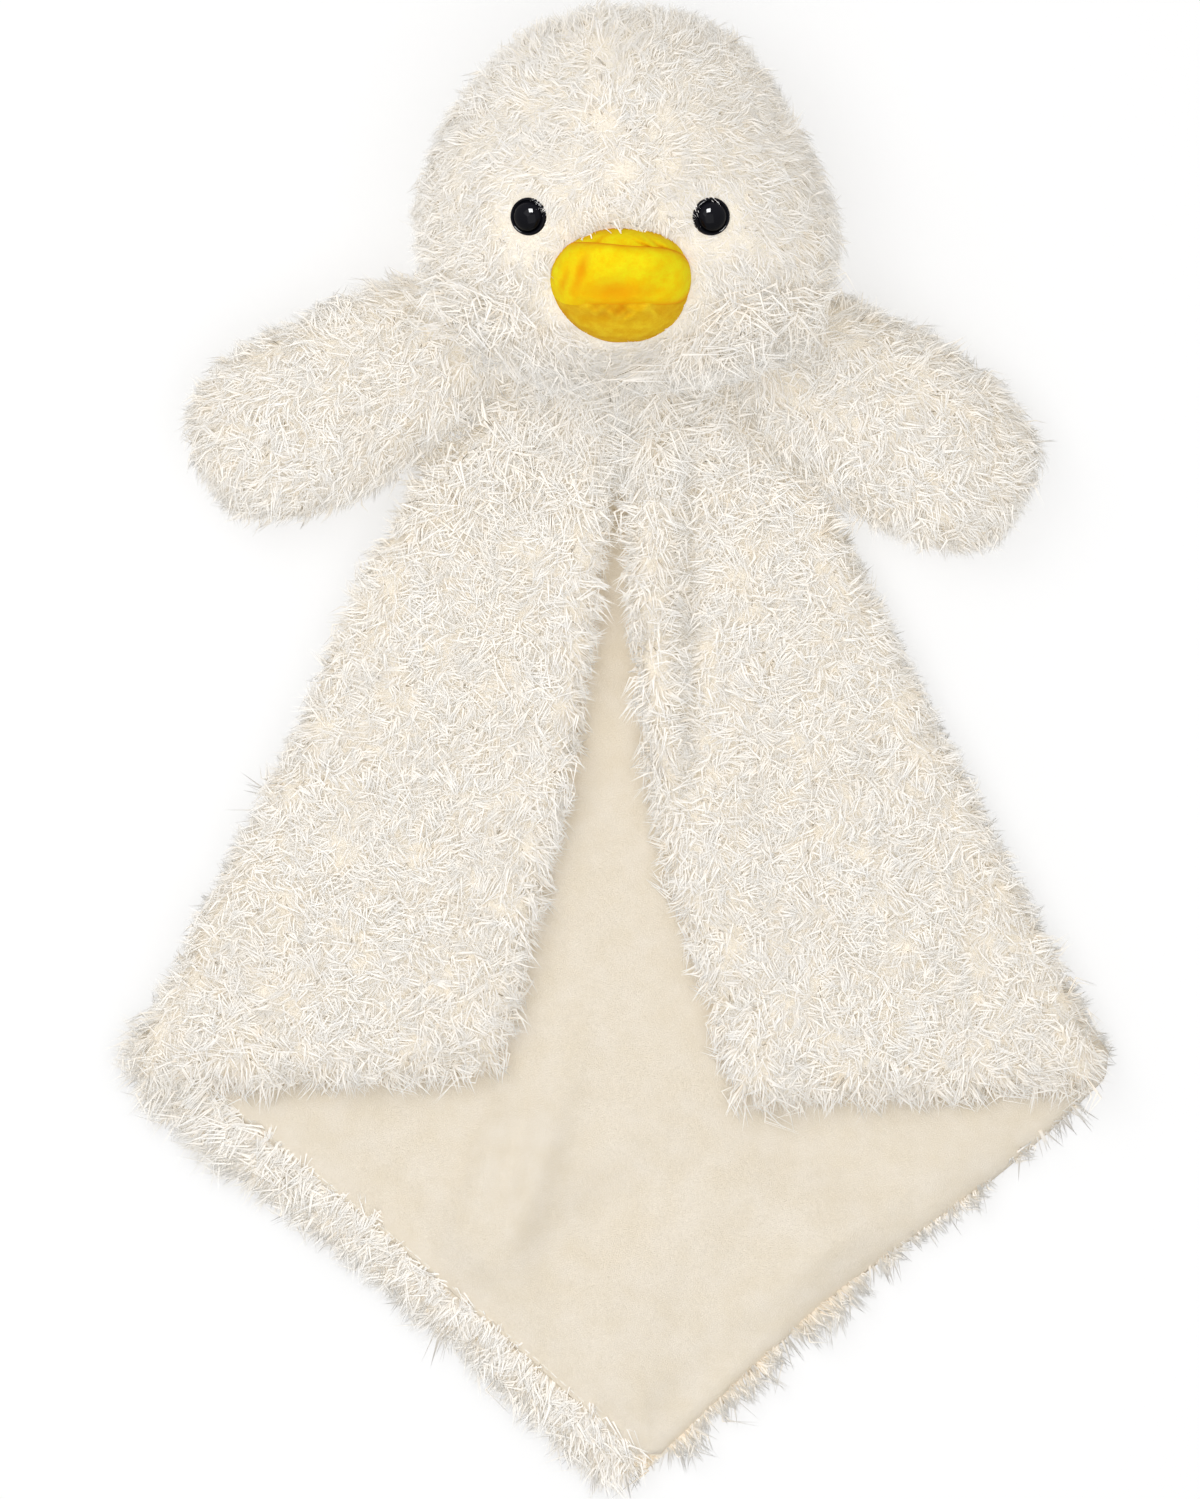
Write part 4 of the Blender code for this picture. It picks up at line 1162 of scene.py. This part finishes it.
def bend_with_flap(piece):
    """Apply a front piece's placement to its mesh."""
    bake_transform(piece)


def make_front(hand, number):
    fur_nodes = [f"{hand}_shoulder_fur", f"{hand}_flap_fur"]
    lining_nodes = [f"{hand}_shoulder_lining", f"{hand}_flap_lining"]
    sign = SIDE_SIGN[hand]
    place, axis = (Vector(part) for part in joint_of(f"{hand}_flap_fold"))
    skin = make_skin(f"{hand}_front_fur_cloth", fur_nodes, CLOTH_CELL, FRONT_SINK, BACKING, None,
                     "cream_fur", lumps=FRONT_LUMPS, settle=FRONT_SETTLES[hand])
    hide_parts(*fur_nodes)
    lining = make_skin(f"{hand}_front_lining", lining_nodes, LINING_CELL, 0, VELOUR, None,
                       "velour_lining", smooth=1)
    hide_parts(*lining_nodes)
    low, high = box_of(*fur_nodes)

    def keep(places, normals):
        return normals[:, 2] > -0.35

    def by_neck(places):
        """Where the two fronts meet under the chin."""
        off = np.abs(places[:, 0] - place.x) - NECK_CLOSED_HALF
        beside = 1 - smooth_step(off / NECK_BESIDE_FADE)
        return beside * smooth_step((places[:, 1] - NECK_CLOSED_Y) / NECK_FADE)

    def comb(places, normals):
        """Down and out over the edges, and across to the other front where they meet."""
        down = np.array([0.25 * sign, -1, 0])
        across = np.array([-1.8 * sign, 0, 0.4])
        return down + 1.6 * normals * (1, 1, 0) + across * by_neck(places)[:, None]

    def length_share(places, normals):
        """Longer where the fronts meet and at the hanging edge, shorter in the groove."""
        hanging = smooth_step((-0.3 - normals[:, 1]) / 0.4)
        grooved = groove_share(places[:, 0], places[:, 1])[0] if hand == "right" else 0
        return 1 + 0.7 * by_neck(places) + 0.35 * hanging - 0.35 * grooved

    def chest_keep(places, normals):
        return smooth_step((places[:, 1] - CHEST_Y) / CHEST_FADE) * (normals[:, 2] > 0)

    fur = grow_fur(f"{hand}_front", skin, BLANKET_PILE, comb, None, keep, length_share=length_share,
                   seed=20 + number)
    fur += grow_fur(f"{hand}_chest", skin, TUFT_PILE, comb, None, chest_keep, seed=24 + number, soft=1)
    area = sheet_area(skin)
    for piece in (skin, lining, *fur):
        bend_with_flap(piece)


def sheet_area(piece):
    """The flat area of a closed cloth, half of its surface."""
    mesh = bmesh.new()
    mesh.from_mesh(piece.data)
    area = sum(face.calc_area() for face in mesh.faces) / 2
    mesh.free()
    return area


# Back


def edge_reach(node, levels):
    """How far a CAD node reaches to the left and right at each level of Y."""
    left = np.full(len(levels), np.inf)
    right = np.full(len(levels), -np.inf)
    data = frame["nodes"][node].data
    points = read_rows(data.vertices, "co")
    edges = np.empty(len(data.edges) * 2, np.int32)
    data.edges.foreach_get("vertices", edges)
    ends = points[edges.reshape(-1, 2)]
    low = ends[:, :, 1].min(axis=1)
    high = ends[:, :, 1].max(axis=1)
    for number, level in enumerate(levels):
        some = ends[(low <= level) & (high >= level) & (high > low)]
        if len(some):
            share = (level - some[:, 0, 1]) / (some[:, 1, 1] - some[:, 0, 1])
            across = mix(some[:, 0, 0], some[:, 1, 0], share)
            left[number] = across.min()
            right[number] = across.max()
    return left, right


LINING_THICK = 1.4 * MM
LINING_RISE = 1.55 * MM
LINING_ACROSS = 112
LINING_ALONG = 156
RIPPLE_SIZE = 42 * MM
RIPPLE_RISE = 2.6 * MM
FINE_RIPPLE_SIZE = 16 * MM
FINE_RIPPLE_RISE = 0.3 * MM
TAIL_BELOW = 6 * MM
TAIL_FADE = 40 * MM
EDGE_FADE = 25 * MM
HEM_WIDE = 13 * MM
HEM_INSET = 3.5 * MM
HEM_INSET_FADE = 12 * MM
HEM_EDGE_WIDE = 4.5 * MM
HEM_TURN = 5 * MM
HEM_DROP = 0.9 * MM
ROLL_RADIUS = 6 * MM
ROLL_DROP_SHARE = 0.95
CORNER_BOW_Y = -238 * MM
RIGHT_BOW = 8.5 * MM
RIGHT_BOW_HALF = 38 * MM
LEFT_BOW = 5 * MM
LEFT_BOW_HALF = 30 * MM
BOW_FROM_X = 40 * MM
BOW_FADE = 60 * MM


def right_bow(x, y):
    """How far the cloth below the right corner bows out past its solid."""
    beside = smooth_step((x - BOW_FROM_X) / BOW_FADE)
    return RIGHT_BOW * beside * np.exp(-((y - CORNER_BOW_Y) / RIGHT_BOW_HALF) ** 2)


def fuller_corners(place):
    """The cloth bows out below both side corners."""
    right = right_bow(place.x, place.y)
    beside = smooth_step((-BOW_FROM_X - place.x) / BOW_FADE)
    left = LEFT_BOW * beside * math.exp(-((place.y - CORNER_BOW_Y) / LEFT_BOW_HALF) ** 2)
    return (right - left, 0, 0)


def make_lining():
    """The back's velour: flat under the flaps, rippled in the tail and rolled over at the right."""
    low, high = box_of("back_lining")
    levels = np.linspace(high[1] - WELD, low[1] + WELD, LINING_ALONG + 1)
    left, right = edge_reach("back_lining", levels)
    corner_y = levels[np.argmax(right)]
    left = left + HEM_INSET * smooth_step((corner_y - levels) / HEM_INSET_FADE)
    right = right + right_bow(right, levels)
    draw = np.random.default_rng(SEED + 9)
    soft = ripple(draw, RIPPLE_SIZE)
    fine = ripple(draw, FINE_RIPPLE_SIZE)
    mesh = bmesh.new()
    bmesh.ops.create_grid(mesh, x_segments=LINING_ACROSS, y_segments=LINING_ALONG, size=0.5)
    points = np.array([vert.co for vert in mesh.verts])
    row = np.clip(np.rint((0.5 - points[:, 1]) * LINING_ALONG).astype(int), 0, LINING_ALONG)
    x = mix(left[row], right[row], points[:, 0] + 0.5)
    y = levels[row]
    flat = np.stack([x, y, np.zeros(len(x))], axis=1)
    tail = smooth_step((corner_y - TAIL_BELOW - y) / TAIL_FADE)
    middle = smooth_step(np.minimum(x - left[row], right[row] - x) / EDGE_FADE)
    rippled = RIPPLE_RISE * (soft(flat) + 0.6) + FINE_RIPPLE_RISE * fine(flat)
    z = np.full(len(x), low[2] + LINING_RISE) + tail * middle * rippled
    z += lining_fold(x, y)
    slope = (right[row] - right[np.minimum(row + 1, LINING_ALONG)]) / abs(levels[1] - levels[0])
    from_edge = (right[row] - x) / np.sqrt(1 + slope ** 2)
    turn = np.clip(1 - from_edge / ROLL_RADIUS, 0, 1)
    z = np.where(y < corner_y, z - ROLL_RADIUS * (1 - np.sqrt(1 - turn ** 2)) * ROLL_DROP_SHARE, z)
    left_turn = np.clip(1 - (x - left[row]) / HEM_TURN, 0, 1)
    z = z - HEM_DROP * left_turn ** 2
    for vert, place in zip(mesh.verts, np.stack([x, y, z], axis=1)):
        vert.co = place
    bmesh.ops.recalc_face_normals(mesh, faces=mesh.faces[:])
    if sum(face.normal.z for face in mesh.faces) < 0:
        bmesh.ops.reverse_faces(mesh, faces=mesh.faces[:])
    made = new_piece("back_lining_velour", mesh, VELOUR, "root")
    thick = made.modifiers.new("cloth", "SOLIDIFY")
    thick.thickness = LINING_THICK
    thick.offset = -1
    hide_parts("back_lining")
    return made


FOLD_TOP_X = -17.5 * MM
FOLD_TOP_Y = -186 * MM
FOLD_LEAN_SHARE = 0.31
FOLD_LENGTH = 100 * MM
FOLD_CLEAR_Y = -214 * MM
FOLD_CLEAR_FADE = 14 * MM
FOLD_HALF = 6.5 * MM
FOLD_RISE = 5.5 * MM
FOLD_LEFT_RISE = 4 * MM


def lining_fold(x, y):
    """The soft fold that runs down the lining below the left flap: a valley between two ridges."""
    along = (FOLD_TOP_Y - y) / FOLD_LENGTH
    across = (x - FOLD_TOP_X - FOLD_LEAN_SHARE * (y - FOLD_TOP_Y)) / FOLD_HALF
    clear = smooth_step((FOLD_CLEAR_Y - y) / FOLD_CLEAR_FADE)
    right = FOLD_RISE * np.exp(-((across - 1.2) / 1.1) ** 2)
    left = FOLD_LEFT_RISE * np.exp(-((across + 1.2) / 0.9) ** 2) * clear
    rise = (right + left) * np.sin(math.pi * np.clip(along, 0, 1)) ** 2
    return np.where((along > 0) & (along < 1), rise, 0)


BACK_SINK = 1.4 * MM
TAIL_TIP_X = 3 * MM
HEM_ABOVE = 8 * MM
HEM_SHORT_Y = -232 * MM
HEM_SHORT_FADE = 14 * MM
HEM_LONG_Y = -292 * MM
HEM_LONG_FADE = 30 * MM
RIM_BELOW = 4 * MM
RIM_GAP_SIZE = 14 * MM
RIM_FULL_Y = -264 * MM
RIM_FULL_FADE = 10 * MM
RIM_LONG_Y = -262 * MM
RIM_LONG_FADE = 14 * MM
RIM_TIP_Y = -320 * MM
RIM_TIP_FADE = 8 * MM


def below(places, level, fade):
    """0 above a level of Y, rising to 1 over a length below it."""
    return smooth_step((level - places[:, 1]) / fade)


def make_back():
    skin = make_skin("back_fur_cloth", ["back_fur"], HEAD_CELL, BACK_SINK, BACKING, "root", "cream_fur",
                     settle=fuller_corners)
    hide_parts("back_fur")
    low, high = box_of("back_fur")
    centre = (low + high) / 2
    corners = cad_points("back_fur")
    corner_y = corners[np.argmax(corners[:, 0])][1]
    gaps = ripple(np.random.default_rng(SEED + 3), RIM_GAP_SIZE)
    levels = np.linspace(low[1], high[1], LINING_ALONG)
    left_edge = edge_reach("back_fur", levels)[0]

    def inside_left(places):
        """How far inside the left edge a place is, square to that edge."""
        edge = np.interp(places[:, 1], levels, left_edge)
        slope = np.interp(places[:, 1], levels, np.gradient(left_edge, levels))
        return (places[:, 0] - edge) / np.sqrt(1 + slope ** 2)

    def hem_keep(places, normals):
        tail_left = (places[:, 1] < corner_y + HEM_ABOVE) & (places[:, 0] < TAIL_TIP_X)
        return tail_left & (inside_left(places) < HEM_WIDE) & (normals[:, 2] > -0.5)

    def hem_edge_keep(places, normals):
        return hem_keep(places, normals) & (inside_left(places) > HEM_WIDE - HEM_EDGE_WIDE)

    def rim_keep(places, normals):
        """Tufts with gaps between them along the tail's right side, and all round above the corners."""
        tail_right = (places[:, 1] < corner_y - RIM_BELOW) & (places[:, 0] >= TAIL_TIP_X)
        fewest = -0.3 - 0.9 * below(places, RIM_FULL_Y, RIM_FULL_FADE)
        sideways = np.hypot(normals[:, 0], normals[:, 1]) > 0.5
        tufts = (normals[:, 2] < 0.3) & sideways & (gaps(places) > fewest)
        return np.where(tail_right, tufts, (places[:, 1] >= corner_y) & sideways)

    def under_keep(places, normals):
        return normals[:, 2] < -0.6

    def outward(places, normals):
        away = (places - centre) * (1, 1, 0)
        return unit(away) * 0.4 + 2 * normals * (1, 1, 0)

    def tailward(places, normals):
        inward = (centre - places) * (1, 0, 0)
        return unit(inward) * 0.4 + np.array([0, -1, 0])

    def hem_share(places, normals):
        shorter = below(places, HEM_SHORT_Y, HEM_SHORT_FADE)
        longer = below(places, HEM_LONG_Y, HEM_LONG_FADE)
        return 1.1 - 0.18 * shorter + 0.05 * longer

    def rim_share(places, normals):
        longer = 0.6 * below(places, RIM_LONG_Y, RIM_LONG_FADE) * smooth_step(gaps(places) + 0.8)
        return 1 + longer - 0.7 * below(places, RIM_TIP_Y, RIM_TIP_FADE)

    fur = grow_fur("hem", skin, HEM_PILE, outward, "root", hem_keep, length_share=hem_share, seed=31)
    fur += grow_fur("hem_edge", skin, HEM_EDGE_PILE, outward, "root", hem_edge_keep, seed=34)
    fur += grow_fur("rim", skin, RIM_PILE, outward, "root", rim_keep, length_share=rim_share, seed=32)
    fur += grow_fur("under", skin, UNDER_PILE, tailward, "root", under_keep, seed=33, soft=0)
    lining = make_lining()
    make_hem_stitches(lining)
    area = sheet_area(skin)


STITCH_LONG = 3.1 * MM
STITCH_STEP = 3.75 * MM
STITCH_THICK = 0.55 * MM
STITCH_INSET = 1.5 * MM
STITCH_RISE = 0.6 * MM
STITCH_FROM = 6 * MM
STITCH_SHORT_OF = 12 * MM


def make_hem_stitches(lining):
    """The line of small stitches that holds the lining's edge down on the fur, at the lower left."""
    points = read_rows(lining.data.vertices, "co").reshape(LINING_ALONG + 1, LINING_ACROSS + 1, 3)
    edge = points[:, 0] if points[0, 0, 0] < points[0, -1, 0] else points[:, -1]
    edge = edge[np.argsort(-edge[:, 1])]
    edge = edge[np.argmin(edge[:, 0]):]
    steps = np.linalg.norm(np.diff(edge[:, :2], axis=0), axis=1)
    reach = np.concatenate([[0], np.cumsum(steps)])

    def along_edge(distance):
        return Vector([np.interp(distance, reach, edge[:, side]) for side in range(3)])

    stitches = bmesh.new()
    for start in np.arange(STITCH_FROM, reach[-1] - STITCH_SHORT_OF, STITCH_STEP):
        here = along_edge(start)
        there = along_edge(start + STITCH_LONG)
        along = (there - here).normalized()
        inward = Vector((-along.y, along.x, 0)).normalized()
        added = bmesh.ops.create_uvsphere(stitches, u_segments=8, v_segments=6, radius=1)["verts"]
        bmesh.ops.scale(stitches, verts=added, vec=(STITCH_THICK / 2, STITCH_THICK / 2, STITCH_LONG / 2))
        middle = (here + there) / 2 + inward * STITCH_INSET + Vector((0, 0, STITCH_RISE))
        spun = Matrix.Translation(middle) @ along.to_track_quat("Z", "Y").to_matrix().to_4x4()
        bmesh.ops.transform(stitches, verts=added, matrix=spun)
    new_piece("hem_stitches", stitches, COTTON, "root")


# Neck and fillings


NECK_SINK = 2 * MM


def make_neck():
    """The gathered corner of the blanket that goes into the neck."""
    skin = make_skin("neck_gather_cloth", ["neck_gather"], HEAD_CELL, NECK_SINK, BACKING, "root",
                     "cream_fur")
    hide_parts("neck_gather")

    def comb(places, normals):
        return np.array([0, -1, 0]) + 0.6 * normals * (1, 1, 0)

    grow_fur("neck", skin, NECK_PILE, comb, "root", seed=41)


FILLING_CELL = 2.5 * MM
# The body that each filling rides on, and how far it lies inside its solid
FILLINGS = {"head": ("head", 3 * MM), "neck": ("root", 1 * MM), "beak_upper": ("head", 2.5 * MM),
            "beak_lower": ("head", 2.5 * MM), "left_wing": ("left_wing", 3 * MM),
            "right_wing": ("right_wing", 3 * MM)}


def make_fillings():
    """Loose fibre inside each stuffed form."""
    for form, (body, sink) in FILLINGS.items():
        node = f"{form}_stuffing"
        fibre = soft_copy(node, [node], FILLING_CELL, sink)
        made = new_piece(f"{form}_fibre", fibre, FILLING, body)
        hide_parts(node)


# Stage


def seen_directly(tree):
    """1 for what the camera, a reflection or glass shows, and 0 for what only sends light."""
    path = add_node(tree, "LightPath")
    result = path.outputs["Is Camera Ray"]
    for kind in ("Glossy", "Transmission"):
        most = add_math(tree, "MAXIMUM")
        tree.links.new(result, most.inputs[0])
        link(path, f"Is {kind} Ray", most, 1)
        result = most.outputs["Value"]
    return result


def make_floor():
    """A pale floor that glows where it is seen, so that it is white but for the toy's shadow."""
    floor = bmesh.new()
    bmesh.ops.create_grid(floor, x_segments=1, y_segments=1, size=FLOOR_HALF)
    bmesh.ops.translate(floor, verts=floor.verts[:], vec=(0, 0, -FLOOR_DROP))
    made, tree, shader = new_material("pale_floor")
    set_inputs(shader, Base_Color=FLOOR_PALE, Roughness=1, Specular_IOR_Level=0)
    glow = add_node(tree, "Emission")
    share = add_math(tree, "MULTIPLY")
    share.inputs[1].default_value = FLOOR_GLOW_SHARE
    tree.links.new(seen_directly(tree), share.inputs[0])
    both = add_node(tree, "MixShader")
    link(share, "Value", both, "Fac")
    link(shader, "BSDF", both, 1)
    link(glow, "Emission", both, 2)
    link(both, "Shader", tree.nodes["Material Output"], "Surface")
    new_piece("floor", floor, made)


def make_sky():
    """Even light from all round, behind a background that shows white."""
    world = bpy.data.worlds.new("studio")
    bpy.context.scene.world = world
    world.use_nodes = True
    tree = world.node_tree
    sky = tree.nodes["Background"]
    span = add_node(tree, "MapRange", To_Min=SKY_SHARE, To_Max=1)
    tree.links.new(seen_directly(tree), span.inputs["Value"])
    link(span, "Result", sky, "Strength")
    set_inputs(sky, Color=WHITE)


def add_lamp(name, direction, size, share):
    """A soft lamp that gives white cloth facing up the given share of its light."""
    facing = Vector(direction).normalized()
    lamp = bpy.data.lights.new(name, "AREA")
    lamp.shape = "RECTANGLE"
    lamp.size = lamp.size_y = size
    lamp.energy = share * (math.pi * LAMP_AWAY) ** 2 / facing.z
    holder = bpy.data.objects.new(name, lamp)
    bpy.context.collection.objects.link(holder)
    holder.location = Vector((VIEW_X, VIEW_Y, 0)) + facing * LAMP_AWAY
    holder.rotation_euler = facing.to_track_quat("Z", "Y").to_euler()
    return holder


def add_eye_glint():
    """A lamp for the eyes alone, whose reflection is their highlight."""
    glint = add_lamp("eye_glint", GLINT_FROM, GLINT_SIZE, GLINT_SHARE)
    eyes = bpy.data.collections.new("lit_by_glint")
    for hand in HANDS:
        eyes.objects.link(bpy.data.objects[f"{hand}_eye_dome"])
    glint.light_linking.receiver_collection = eyes


def place_camera():
    data = bpy.data.cameras.new("camera")
    data.sensor_fit = "VERTICAL"
    data.sensor_height = CAMERA_SENSOR
    data.lens = CAMERA_SENSOR * (CAMERA_UP - VIEW_LEVEL) / VIEW_HIGH
    data.clip_end = CAMERA_REACH
    holder = bpy.data.objects.new("camera", data)
    bpy.context.collection.objects.link(holder)
    holder.location = (VIEW_X, VIEW_Y, CAMERA_UP)
    bpy.context.scene.camera = holder


def finish_washers():
    """The washers are the frame's own solids, in white plastic."""
    for hand in HANDS:
        washer = frame["nodes"][f"{hand}_eye_washer"]
        washer.data.materials.clear()
        washer.data.materials.append(WASHER_PLASTIC)


place_camera()
make_floor()
make_sky()
add_lamp("key_lamp", KEY_FROM, KEY_SIZE, KEY_SHARE)
add_lamp("front_lamp", FRONT_FROM, FRONT_SIZE, FRONT_SHARE)
bpy.context.scene.view_settings.view_transform = "Standard"

make_head()
for hand in HANDS:
    make_eye(hand)
make_beak()
add_eye_glint()
for number, hand in enumerate(HANDS):
    make_wing(hand, number)
make_back()
for number, hand in enumerate(HANDS):
    make_front(hand, number)
make_neck()
make_fillings()
finish_washers()
